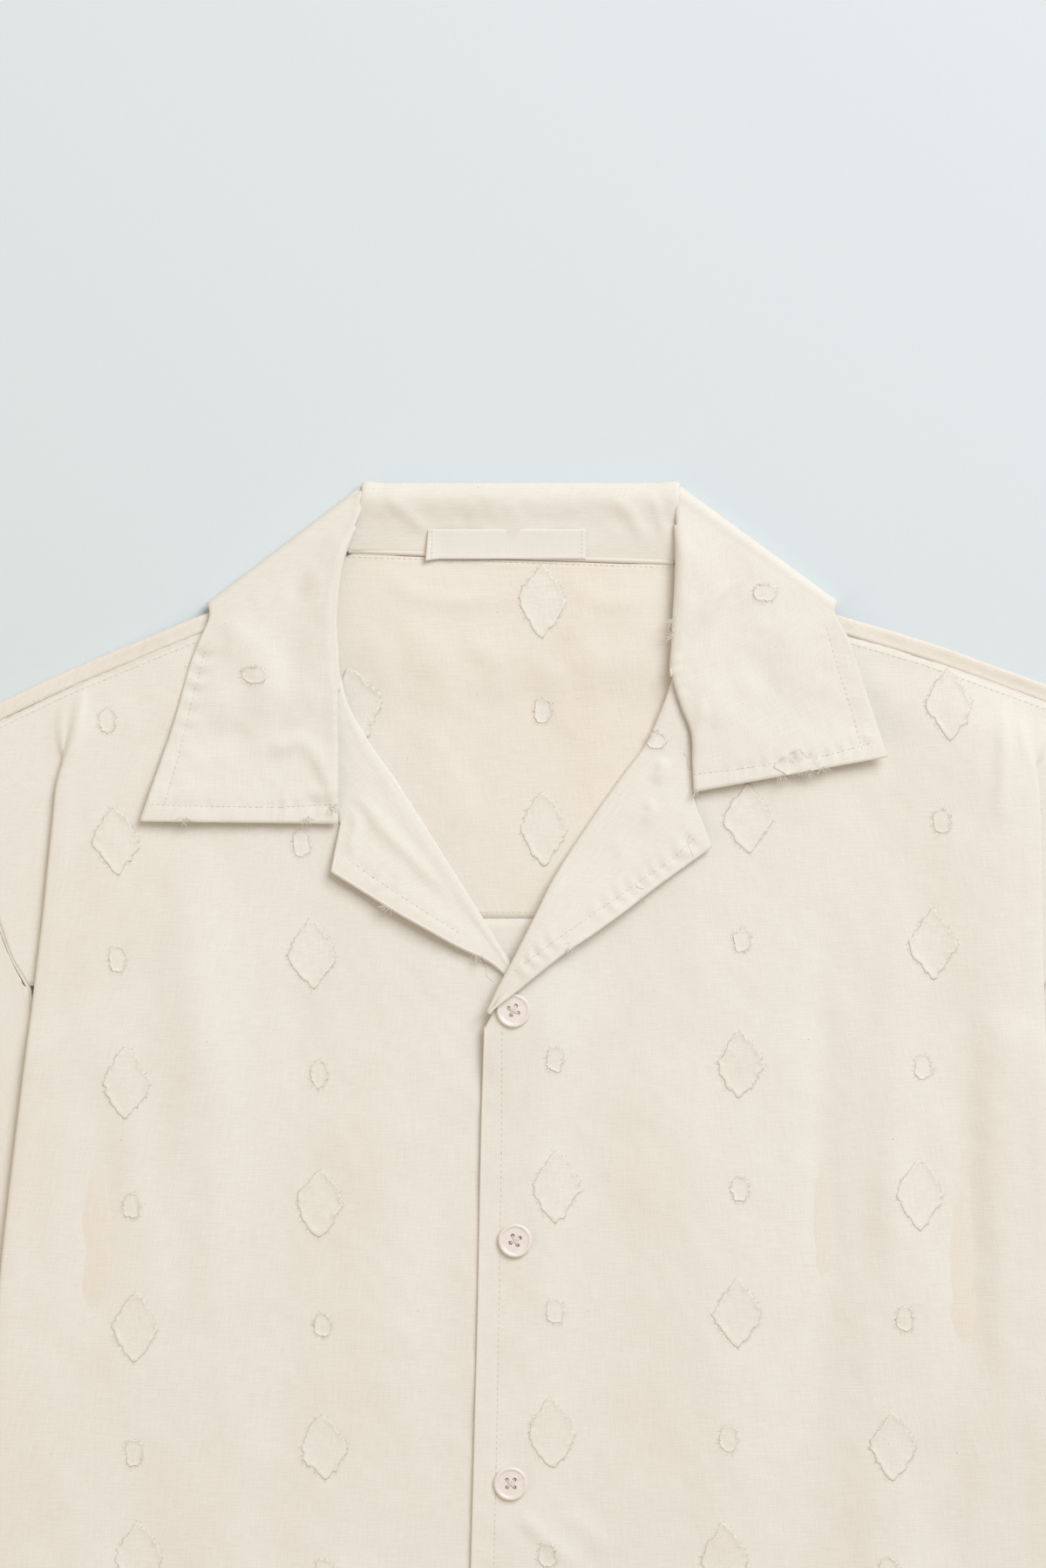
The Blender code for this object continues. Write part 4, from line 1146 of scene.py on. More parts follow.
@dataclass
class Workshop:
    """What every sub-assembly uses: the finishes, the node trees and the list of made pieces."""

    finishes: Finishes = field(default_factory=Finishes)
    stitches: StitchTree = field(default_factory=StitchTree)
    fray: FrayTree = field(default_factory=FrayTree)
    cord: CordTree = field(default_factory=CordTree)
    hosts: Dict[str, Thing] = field(default_factory=dict)
    trims: Dict[str, List[Thing]] = field(default_factory=dict)

    def cloth(self, piece: Thing, node: str, slot: str) -> None:
        """Let a cloth piece stand for its CAD node."""
        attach(piece, "root")
        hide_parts(node)
        self.hosts[node] = piece
        self.trims.setdefault(node, [])
        LOG.info("%s: %d faces", piece.name, len(piece.data.polygons))

    def trim(self, piece: Thing, node: str) -> None:
        """Add a small thing that lies on a cloth piece."""
        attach(piece, "root")
        self.trims.setdefault(node, []).append(piece)
        LOG.info("%s on %s: %d faces", piece.name, node, len(piece.data.polygons))

    def sew(self, name: str, node: str, lines: Sequence[Table], pitch: float) -> None:
        """Run stitches along lines on a cloth piece.

        Args:
            name: the stitches' name.
            node: the cloth piece's node.
            lines: bent lines across and along the shirt.
            pitch: distance from stitch to stitch.
        """
        draper = Draper(self.hosts[node])
        stretches = [stretch for line in lines for stretch in draper.lay(line, 2.0, STITCH_LIFT)]
        piece = self.stitches.run(
            name, line_mesh(stretches), self.finishes.thread,
            {"Pitch": pitch * MILLIMETRE, "Length": 0.72 * pitch * MILLIMETRE, "Seed": len(name)},
        )
        self.trim(piece, node)

    def pipe(self, name: str, node: str, edge: np.ndarray, inner: np.ndarray, radius: float = 0.62) -> None:
        """Run a narrow turned edge along a cloth piece's own edge points."""
        run = inner[:, :3] - edge[:, :3]
        run /= np.linalg.norm(run, axis=1, keepdims=True)
        line = edge[:, :3] + run * (radius + 0.15) + np.array((0.0, 0.0, 0.3))
        self.strands(name, node, [line.tolist()], radius, self.finishes.facing)

    def fill(self, name: str, node: str, line: Table, shift: Spot, radius: float, lift: float) -> None:
        """Lay the turned allowance that shows in a seam, level with the cloth beside it.

        Args:
            name: the piece's name.
            node: the cloth piece beside the seam.
            line: the seam's line.
            shift: from the seam to the cloth whose level is taken.
            radius: the allowance's half width.
            lift: height of its middle above the cloth.
        """
        laid = Draper(self.hosts[node]).lay([(x + shift[0], y + shift[1]) for x, y in line], 3.0, lift)
        lines = [[(x - shift[0], y - shift[1], z) for x, y, z in stretch] for stretch in laid]
        # The allowance takes the warmer, darker copy of the cotton: painted shade for the seam's gap.
        self.strands(name, node, lines, radius, self.finishes.inside)

    def strands(self, name: str, node: str, lines: Sequence, radius: float, finish: Material) -> None:
        """Make round strands along lines of points and lay them on a cloth piece."""
        self.trim(self.cord.run(name, line_mesh(lines), finish, {"Radius": radius * MILLIMETRE}), node)

    def tufts(self, name: str, node: str, places: Sequence[Place]) -> None:
        """Pull a few ravelled threads out of a cloth piece's edge.

        Args:
            name: the tufts' name.
            node: the cloth piece's node.
            places: where each tuft stands, across and along, and its direction in degrees.
        """
        draper = Draper(self.hosts[node])
        chance = np.random.default_rng(len(name))
        points, away = [], []
        for x, y, angle in places:
            found = draper.drop(x, y)
            if found is None:
                LOG.info("tuft at %.0f, %.0f leaves %s", x, y, node)
                continue
            for _ in range(TUFT_THREADS):
                shift, turn = chance.normal(0.0, 1.1, 2), math.radians(angle) + chance.normal(0.0, 0.5)
                points.append((x + 0.8 * shift[0], y + 0.5 * shift[1], found - 0.3 - 0.4 * chance.random()))
                away.append((math.cos(turn), math.sin(turn), 0.05))
        sizes = {"Length": 0.004, "Radius": 0.00011, "Spread": 0.7, "Seed": 4}
        self.trim(self.fray.run(name, point_mesh(points, away), self.finishes.fray, sizes), node)


class ClothPiece:
    """Base of the cloth pieces: creases on a grid of middle points, thickened to a shell."""

    kind = "cloth"
    finish = "cotton"
    slot = "cotton"
    bulge = 0.12
    below: Tuple[str, ...] = ("floor",)

    @property
    def node(self) -> str:
        """The CAD node that the piece stands for."""
        return self.kind

    @property
    def title(self) -> str:
        """The piece's own name."""
        return self.node.replace("facing", "lapel") + "_cloth"

    def grid(self) -> ClothGrid:
        """The piece's middle surface."""
        raise NotImplementedError

    def build(self, shop: Workshop) -> None:
        """Make the piece's shell."""
        grid = self.grid().raise_by(self.relief)
        LOG.info("%s flat area %.4f", self.node, grid.area())
        piece = grid.shell(self.title, self.thickness, getattr(shop.finishes, self.finish), self.bulge)
        shop.cloth(piece, self.node, self.slot)
        self.dress_edge(shop, grid)

    def dress_edge(self, shop: Workshop, grid: ClothGrid) -> None:
        """Add what is sewn or turned at the piece's edge, where it has that."""

    def declare(self, shop: Workshop) -> None:
        shop.hosts[self.node]
        list(self.below)
        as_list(shop.trims[self.node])


class HalfPiece(ClothPiece):
    """Base of the cloth pieces that the shirt has once on each side."""

    @property
    def node(self) -> str:
        """The CAD node that the piece stands for."""
        return "%s_%s" % (self.kind, self.half.name)


def sleeve_lift(side: Half, out: float, y: float, margin: float = 0.0) -> float:
    """How far a layer rises over the sleeve that lies under the body's side."""
    under = np.array(side.sleeve_under, dtype=float)[::-1]
    inner = np.interp(y, under[:, 1], under[:, 0])
    across = ease(out, inner - 40.0 - margin, inner - 15.0 - margin)
    fade = 62.0 + 4.0 * margin
    lengthwise = ease(y, ARMPIT_Y, 124.0) * ease(y, -24.0 - margin - fade, -24.0 - 0.5 * margin)
    return SLEEVE_LIFT * across * lengthwise


def fall_cover(x: float, y: float) -> float:
    """1 where the collar's fall lies under the yoke, 0 away from it."""
    return ease(y, 280.0, 304.0) * ease(abs(x), 192.0, 160.0)


def back_level(x: float, y: float) -> float:
    """Middle surface of the back and of the yoke's lower layer."""
    level = BACK_LEVEL + sum(sleeve_lift(side, side.sign * x, y) for side in SIDES)
    return level + FALL_LIFT * fall_cover(x, y)


def wrap_level(out: float) -> float:
    """Level of the shoulder's upper layer, higher over the collar's fall."""
    return mix(SLEEVE_TOP_LEVEL, 5.4, ease(out, 200.0, 158.0))


def ridge_level(sign: float, x: float, y: float) -> float:
    """Height of the soft upright ridges at a place."""
    total = 0.0
    for ridge in RIDGES:
        if ridge.sign == sign:
            part = (ridge.y_high - y) / (ridge.y_high - ridge.y_low)
            middle = mix(ridge.x_high, ridge.x_low, part)
            grown = ease(part, 0.0, 0.45) * ease(part, 1.5, 0.9)
            total += ridge.height * grown * math.exp(-(((x - middle) / ridge.half_width) ** 2))
    return total


def return_level(side: Half, y: float) -> float:
    """Level of the layer that comes back under the front's side fold."""
    lift = sleeve_lift(side, read(side.side_fold, y) - 4.0, y, LIFT_MARGIN)
    below = BACK_LEVEL + lift + CLOTH + LAYER_GAP
    return mix(below, DROP_SHOULDER_RETURN, ease(y, 124.0, 146.0))


def crossing(x: float, y: float) -> float:
    """1 where the lapels cross, 0 away from it."""
    return ease(y, 98.0, 132.0) * ease(abs(x - CROSSING_X), 46.0, 16.0) * ease(y, 215.0, 175.0)


def front_top(side: Half, out: float) -> float:
    """Upper edge of a front: the neckline, then the seam to the yoke."""
    seam = read(side.shoulder, out) - YOKE_WRAP - SEAM_GAP / 2.0
    return min(read(side.neckline, out), seam)


def front_level(side: Half, out: float, y: float) -> float:
    """Middle surface of a front's main area."""
    x = side.sign * out
    fold = read(side.side_fold, y)
    level = side.middle_level
    if side is LEFT:
        level += OVERLAP_LIFT * ease(x, 34.0, 17.0) + CROSSING_LIFT * crossing(x, y)
    edge = return_level(side, y) + 2.0 * FOLD_TURN
    level = mix(level, edge, ease(out, fold - 78.0, fold - 5.0))
    level += FALL_LIFT * ease(y, 268.0, 296.0) * ease(out, 205.0, 165.0)
    level += ridge_level(side.sign, x, y) * ease(out, fold - 4.0, fold - 26.0)
    level = max(level, BACK_LEVEL + sleeve_lift(side, out, y, LIFT_MARGIN) + CLOTH + 1.5 * LAYER_GAP)
    near_shoulder = ease(front_top(side, out) - y, FOLD_START, 0.0) * ease(out, 84.0, 99.0)
    return mix(level, wrap_level(out), near_shoulder)


@dataclass
class Front(HalfPiece):
    """One front: the main area, its side fold and the drop shoulder that lies lower beyond it."""

    kind = "front"
    half: Half
    relief: Relief
    cell: float = 3.4
    thickness: float = 1.0
    lower_parts: Tuple[float, ...] = (0.3, 0.65, 1.0)
    cut: Spot = (0.312, 0.715)
    cut_area: float = 0.198

    @property
    def below(self) -> Tuple[str, str]:
        """A front rests on the back and on its own sleeve."""
        return "back", "sleeve_" + self.half.name

    def parts(self) -> List[float]:
        """Parts of the front's width at which its columns stand."""
        inner, outer = self.half.placket[-1][1], self.half.side_fold[-1][1]
        outs = [inner, inner + 5.0, 2.0, 15.0, 30.0, 45.0, 58.0, 68.0, 76.0, 84.0, 91.0, 98.0]
        outs += [112.0, 126.0, 140.0, 153.0, 166.0, 178.0, 190.0]
        outs += [198.0, outer - 10.5] if outer < 230.0 else [202.0, 214.0, 226.0, outer - 18.0, outer - 10.5]
        return [(out - inner) / (outer - inner) for out in outs]

    def fold_profile(self, y: float, seam_distance: float) -> List[Spot]:
        """Columns of the side fold: how far out of the fold's edge they stand, and their level."""
        side = self.half
        back = return_level(side, y)
        under_turn = (back - SLEEVE_TOP_LEVEL) / 2.0
        profile = [(-2.4, back + 2.0 * FOLD_TURN)]
        for cos, sin in arc(45.0, 0.0, -45.0, -90.0):
            profile.append((FOLD_TURN * (cos - 1.0), back + FOLD_TURN + FOLD_TURN * sin))
        profile.append((1.0 - FOLD_OVERLAP, back))
        for cos, sin in arc(45.0, 0.0, -45.0):
            profile.append((-FOLD_OVERLAP - under_turn * cos, SLEEVE_TOP_LEVEL + under_turn * (1.0 + sin)))
        profile.append((1.0 - FOLD_OVERLAP, SLEEVE_TOP_LEVEL))
        level = wrap_level(read(side.side_fold, y))
        spread = [(-8.0 + 1.6 * step, level) for step in range(len(profile))]
        raised = ease(seam_distance, 1.0, 0.7 * FOLD_START)
        folded = ease(seam_distance, 0.5 * FOLD_START, 1.4 * FOLD_START)
        return [
            (mix(flat[0], bent[0], folded), mix(flat[1], bent[1], raised))
            for flat, bent in zip(spread, profile)
        ]

    def freedom(self, out: float, y: float) -> float:
        """How freely the cloth creases at a place: not at its seams and not at the side fold."""
        fold = read(self.half.side_fold, y)
        return ease(out, fold - 3.0, fold - 16.0) * ease(front_top(self.half, out) - y, -1.0, 10.0)

    def grid(self) -> ClothGrid:
        """The front's middle surface."""
        side, parts = self.half, self.parts()
        inner_top, outer_top = side.placket[-1][1], side.side_fold[-1][1]
        edge_top = front_top(side, outer_top)
        heights = FRONT_ROWS + (edge_top,)
        rows = []
        for edge_y in heights:
            height = (edge_y - HEM_Y) / (edge_top - HEM_Y)
            row = []
            for part in parts:
                y = mix(HEM_Y, front_top(side, mix(inner_top, outer_top, part)), height)
                out = mix(read(side.placket, y), read(side.side_fold, y), part)
                row.append((side.sign * out, y, front_level(side, out, y), self.freedom(out, y)))
            fold = read(side.side_fold, edge_y)
            profile = self.fold_profile(edge_y, edge_top - edge_y)
            near_seam = ease(height, 0.85, 1.0)
            for reach, level in profile:
                seam_y = mix(HEM_Y, front_top(side, fold + reach), height)
                row.append((side.sign * (fold + reach), mix(edge_y, seam_y, near_seam), level, 0.0))
            last_out, last_level, start_y = fold + profile[-1][0], profile[-1][1], row[-1][1]
            end_y = mix(HEM_Y, front_top(side, read(side.armhole, edge_y)), height)
            end_y = mix(edge_y, end_y, near_seam)
            seam = read(side.armhole, end_y) - ARMHOLE_GAP
            for part in self.lower_parts:
                out = mix(last_out, max(seam, last_out + 2.0), part)
                level = mix(last_level, SLEEVE_TOP_LEVEL, min(1.0, 1.6 * part))
                row.append((side.sign * out, mix(start_y, end_y, part), level, 0.25))
            rows.append(row)
        returned = len(parts) + 5
        armpit = next(index for index, y in enumerate(heights) if y >= ARMPIT_Y)
        grid = ClothGrid(rows, lambda row, column: column < returned or row >= armpit)
        return grid.refine(self.cell, turned_columns=range(len(parts), len(parts) + 9))

    def dress_edge(self, shop: Workshop, grid: ClothGrid) -> None:
        """Turn the placket's edge."""
        if self.half is LEFT:
            shop.pipe("placket_edge", "front_left", grid.points[:, 0], grid.points[:, 1])


@dataclass
class Back(ClothPiece):
    """The back, from the hem to the yoke seam, flat on the surface but for the sleeves under it."""

    kind = "back"
    # The back takes the warmer, darker copy of the cotton, which is painted shade for the inside seen through
    # the neck.
    finish = "inside"
    relief: Relief
    cell: float = 5.0
    thickness: float = 1.0
    cut: Spot = (0.548, 0.577)
    cut_area: float = 0.296

    def edge(self, side: Half, y: float) -> float:
        """Outer edge: the armhole above the armpit, the side seam below it."""
        seam = read(side.side_fold, y) - 3.2
        return mix(seam, read(side.armhole, y) - ARMHOLE_GAP, ease(y, ARMPIT_Y - 1.0, ARMPIT_Y + 14.0))

    def grid(self) -> ClothGrid:
        """The back's middle surface."""
        across = [-1.0, -0.96, -0.91, -0.86, -0.81, -0.76, -0.7, -0.64, -0.58, -0.5, -0.25, 0.0]
        across += [-part for part in reversed(across[:-1])]
        heights = [HEM_Y, -300.0, -200.0, -140.0, -110.0, -86.0, -64.0, -44.0, -24.0, 20.0, 66.0, 100.0]
        heights += [122.0, 134.0, 141.0, 149.0, 158.0, 166.0, 174.0, YOKE_SEAM_Y - SEAM_GAP / 2.0]
        rows = []
        for y in heights:
            row = []
            for part in across:
                x = part * self.edge(LEFT if part > 0.0 else RIGHT, y)
                free = ease(abs(x), 150.0, 60.0) * ease(y, -60.0, 60.0)
                row.append((x, y, back_level(x, y), free))
            rows.append(row)
        return ClothGrid(rows).refine(self.cell)


@dataclass
class Yoke(ClothPiece):
    """The yoke: over the shoulders, round their edge and down to the seams of the fronts."""

    kind = "yoke"
    # The yoke, shoulder strip included, takes the warmer, darker copy of the cotton: painted shade for the
    # inside of the neck.
    finish = "inside"
    relief: Relief
    cell: float = 3.2
    thickness: float = 1.0
    neck_tip: float = 92.0
    inner_reach: float = 150.0
    cut: Spot = (0.55, 0.19)
    cut_area: float = 0.083

    def place(self, part: float, y: float) -> Tuple[Half, float]:
        """The half and the distance out of a column at a height."""
        side = LEFT if part > 0.0 else RIGHT
        width = side.armhole[-1][1] - ARMHOLE_GAP
        out = abs(part) * width
        narrowed = read(side.armhole, y) - ARMHOLE_GAP
        if out > self.inner_reach:
            share = (out - self.inner_reach) / (width - self.inner_reach)
            out = self.inner_reach + share * (narrowed - self.inner_reach)
        return side, out

    def crest(self, part: float) -> float:
        """Height of the shoulder's edge, or of the neck seam, at a column."""
        side, out = self.place(part, (LEFT if part > 0.0 else RIGHT).shoulder[-1][1])
        seam = mix(NECK_SEAM_RIGHT_Y, NECK_SEAM_LEFT_Y, (side.sign * out + 80.6) / 158.3) - SEAM_GAP
        return mix(seam, read(side.shoulder, out), ease(out, 80.0, 90.0))

    def grid(self) -> ClothGrid:
        """The yoke's middle surface."""
        outs = [1.0, 0.93, 0.86, 0.76, 0.66, 0.60, 0.54, 0.47, 0.41, 0.355, 0.325, 0.295, 0.2, 0.1, 0.0]
        across = [-part for part in outs] + list(reversed(outs[:-1]))
        base = YOKE_SEAM_Y + SEAM_GAP / 2.0
        rises = (0.0, 0.25, 0.45, 0.6, 0.72, 0.8, 0.88, 0.95, 1.0)
        turns = (60.0, 20.0, -20.0, -60.0)
        rows = []
        steps = [(0, rise) for rise in rises] + [(1, turn) for turn in turns] + [(2, 0.0), (2, 0.5), (2, 1.0)]
        for kind, value in steps:
            row = []
            for part in across:
                top = self.crest(part)
                side, out = self.place(part, top)
                low, high = back_level(side.sign * out, top), wrap_level(out)
                radius = (high - low) / 2.0
                free = 0.0
                if kind == 0:
                    y = mix(base, top - radius, value)
                    side, out = self.place(part, y)
                    level = back_level(side.sign * out, y)
                    free = ease(out, 74.0, 50.0) * ease(top - y, 2.0, 18.0) * ease(y, base, base + 12.0)
                elif kind == 1:
                    turn = math.radians(value)
                    y = top - radius + radius * math.cos(turn)
                    level = low + radius - radius * math.sin(turn)
                else:
                    y = mix(top - radius, top - YOKE_WRAP + 2.0 * SEAM_GAP, value)
                    side, out = self.place(part, y)
                    level = wrap_level(out)
                    free = 0.75 * ease(value, 0.0, 0.5) * ease(out, 98.0, 112.0)
                row.append((side.sign * out, y, level, free))
            rows.append(row)
        wrapped = len(rises) - 1
        outs_of = [abs(point[0]) for point in rows[0]]

        def keep(row: int, column: int) -> bool:
            """Cells past the crest are cloth only beyond the neck."""
            return row < wrapped or min(outs_of[column], outs_of[column + 1]) > self.neck_tip

        return ClothGrid(rows, keep).refine(self.cell, turned_rows=range(wrapped, wrapped + 5))


@dataclass
class Sleeve(HalfPiece):
    """A short sleeve pressed flat: one closed tube, open at the armhole and at the cuff."""

    kind = "sleeve"
    half: Half
    relief: Relief
    cell: float = 3.6
    thickness: float = 1.0
    stations: Tuple[float, ...] = (0.0, 0.05, 0.1, 0.16, 0.23, 0.31, 0.4, 0.52, 0.64, 0.76, 0.88, 1.0)
    across: Tuple[float, ...] = (0.0, 0.09, 0.2, 0.33, 0.46, 0.6, 0.74, 0.87, 0.93, 0.97, 1.0)
    turns: Tuple[float, ...] = (45.0, 0.0, -45.0)
    cut: Spot = (0.37, 0.24)
    cut_area: float = 0.048

    def edge_point(self, line: Table, part: float, hand: float) -> Tuple[np.ndarray, np.ndarray]:
        """A point of the sleeve's edge and the direction that points away from the sleeve there."""
        run = along(line, min(part + 0.06, 1.0)) - along(line, max(part - 0.06, 0.0))
        return along(line, part), square(run) * hand

    def relief_of(self, spot: np.ndarray, part: float) -> float:
        """Soft swell of the sleeve's upper layer, away from the body and from its own edges."""
        clear = ease(spot[0], 268.0, 292.0) * ease(part, 0.0, 0.25) * ease(part, 1.0, 0.75)
        return 1.8 * clear * (1.0 + 0.5 * math.sin(spot[1] / 19.0 + spot[0] / 31.0))

    def grid(self) -> ClothGrid:
        """The sleeve's middle surface, as a ring of columns."""
        side = self.half
        top_start, under_start = np.array(side.sleeve_top[0]), np.array(side.sleeve_under[0])
        middle = (SLEEVE_TOP_LEVEL + BACK_LEVEL) / 2.0
        rows = []
        for station in self.stations:
            top, top_out = self.edge_point(side.sleeve_top, station, 1.0)
            under, under_out = self.edge_point(side.sleeve_under, station, -1.0)
            spots = []
            for part in self.across:
                spot = mix(top - top_out * SLEEVE_TURN, under - under_out * SLEEVE_TURN, part)
                y = mix(side.armhole[-1][0], ARMPIT_Y, part)
                clear = ARMHOLE_GAP + 1.4 * ease(part, 0.2, 0.0)
                seam = np.array((read(side.armhole, y) + clear, y))
                inset = mix(top_out, -under_out, part) * ARMHOLE_GAP
                spots.append(spot + (seam - mix(top_start, under_start, part) + inset) * (1.0 - station) ** 3)
            ring = []
            for spot, part in zip(spots, self.across):
                free = ease(spot[0], 268.0, 290.0) * ease(part, 0.0, 0.12) * ease(part, 1.0, 0.88)
                ring.append((spot, SLEEVE_TOP_LEVEL + self.relief_of(spot, part), free))
            for cos, sin in arc(*self.turns):
                ring.append((spots[-1] + under_out * SLEEVE_TURN * cos, middle + SLEEVE_TURN * sin, 0.0))
            ring += [(spot, BACK_LEVEL, 0.0) for spot in reversed(spots)]
            for cos, sin in arc(*reversed(self.turns)):
                ring.append((spots[0] + top_out * SLEEVE_TURN * cos, middle + SLEEVE_TURN * sin, 0.0))
            rows.append([(side.sign * spot[0], spot[1], level, free) for spot, level, free in ring])
        count = len(self.across)
        turned = list(range(count - 1, count + 3)) + list(range(2 * count + 2, 2 * count + 6))
        return ClothGrid(rows, ring=True).refine(self.cell, turned_columns=turned)


@dataclass
class Lapel(HalfPiece):
    """A lapel: the facing from under the roll line, round it and out to the lapel's free edge."""

    kind = "facing"
    finish = "facing"
    bulge = 0.3
    half: Half
    relief: Relief
    corners: Tuple[float, ...] = (0.2866, 0.418)
    extra: Tuple[float, ...] = (-0.1, -0.05)
    notch: float = 0.27
    climb: Spot = (3.4, 13.0)
    cell: float = 1.7
    thickness: float = 1.1
    across: Tuple[float, ...] = (0.22, 0.42, 0.6, 0.78, 0.9, 1.0)
    turns: Tuple[float, ...] = (-90.0, -45.0, 0.0, 45.0, 90.0)
    cut: Spot = (0.07, 0.19)
    cut_area: float = 0.005

    @property
    def below(self) -> Tuple[str]:
        """A lapel rests on its own front."""
        return ("front_" + self.half.name,)

    def rise(self, station: float, part: float) -> float:
        """How far the lapel stands off towards its free edge."""
        if self.half is LEFT:
            free = ease(station, 0.24, 0.36) * ease(station, 1.0, 0.85)
            over_button = 2.2 * ease(station, 0.72, 0.9)
            return 1.6 * free * part + over_button * ease(part, 0.0, 0.5) * 0.5
        return 3.6 * ease(station, 0.3, 0.42) * ease(station, 0.98, 0.7) * ease(part, 0.1, 1.0)

    def grid(self) -> ClothGrid:
        """The lapel's middle surface."""
        side = self.half
        rows = []
        stations = [
            part for part in side.lapel_stations if min(abs(part - corner) for corner in self.corners) > 0.025
        ]
        stations = sorted(stations + list(self.corners) + list(self.extra))
        for station in stations:
            held = min(max(station, 0.0), 1.0)
            past, before = max(station - 1.0, 0.0) / 0.3, max(-station, 0.0) / 0.1
            climbed = np.array(self.climb) * before
            tucked = 3.2 * ease(station, self.notch, self.notch - 0.06)
            roll = mix(along(side.lapel_roll, held), np.array(LAPEL_TIP), past) + climbed
            run = along(side.lapel_roll, min(held + 0.02, 1.0)) - along(side.lapel_roll, max(held - 0.02, 0.0))
            normal = square(run)
            edge = mix(along(side.lapel_edge, held), np.array(LAPEL_TIP), past) + climbed
            edge = edge + np.array((tucked, 0.0))
            radius = side.roll_radius
            if side is LEFT:
                radius = mix(radius, 1.9, ease(station, 0.7, 0.9))
            under = roll + normal * radius
            low = front_level(side, under[0], under[1])
            row = []
            for cos, sin in arc(*self.turns):
                spot = roll + normal * radius * (1.0 - cos)
                row.append((side.sign * spot[0], spot[1], low + radius + radius * sin, 0.0))
            for part in self.across:
                spot = mix(under, edge, part)
                level = low + 2.0 * radius + self.rise(held, part) + 1.6 * past * part
                below = front_level(side, spot[0], spot[1]) + CLOTH + LAYER_GAP
                free = ease(part, 0.0, 0.3)
                row.append((side.sign * spot[0], spot[1], max(level, below), free))
            rows.append(row)
        breaks = [stations.index(corner) for corner in self.corners]
        return ClothGrid(rows).refine(self.cell, turned_columns=range(0, 4), row_breaks=breaks)

    def dress_edge(self, shop: Workshop, grid: ClothGrid) -> None:
        """Turn the lapel's lower edge."""
        lower = grid.points[round(0.42 * len(grid.points)):]
        shop.pipe("lapel_%s_edge" % self.half.name, self.node, lower[:, -1], lower[:, -2])


def stand_level(y: float) -> float:
    """Level of the stand behind the neck, from its seam up to the roll."""
    return mix(3.0, LEAF_LEVEL, ease(y, 352.0, 392.0))


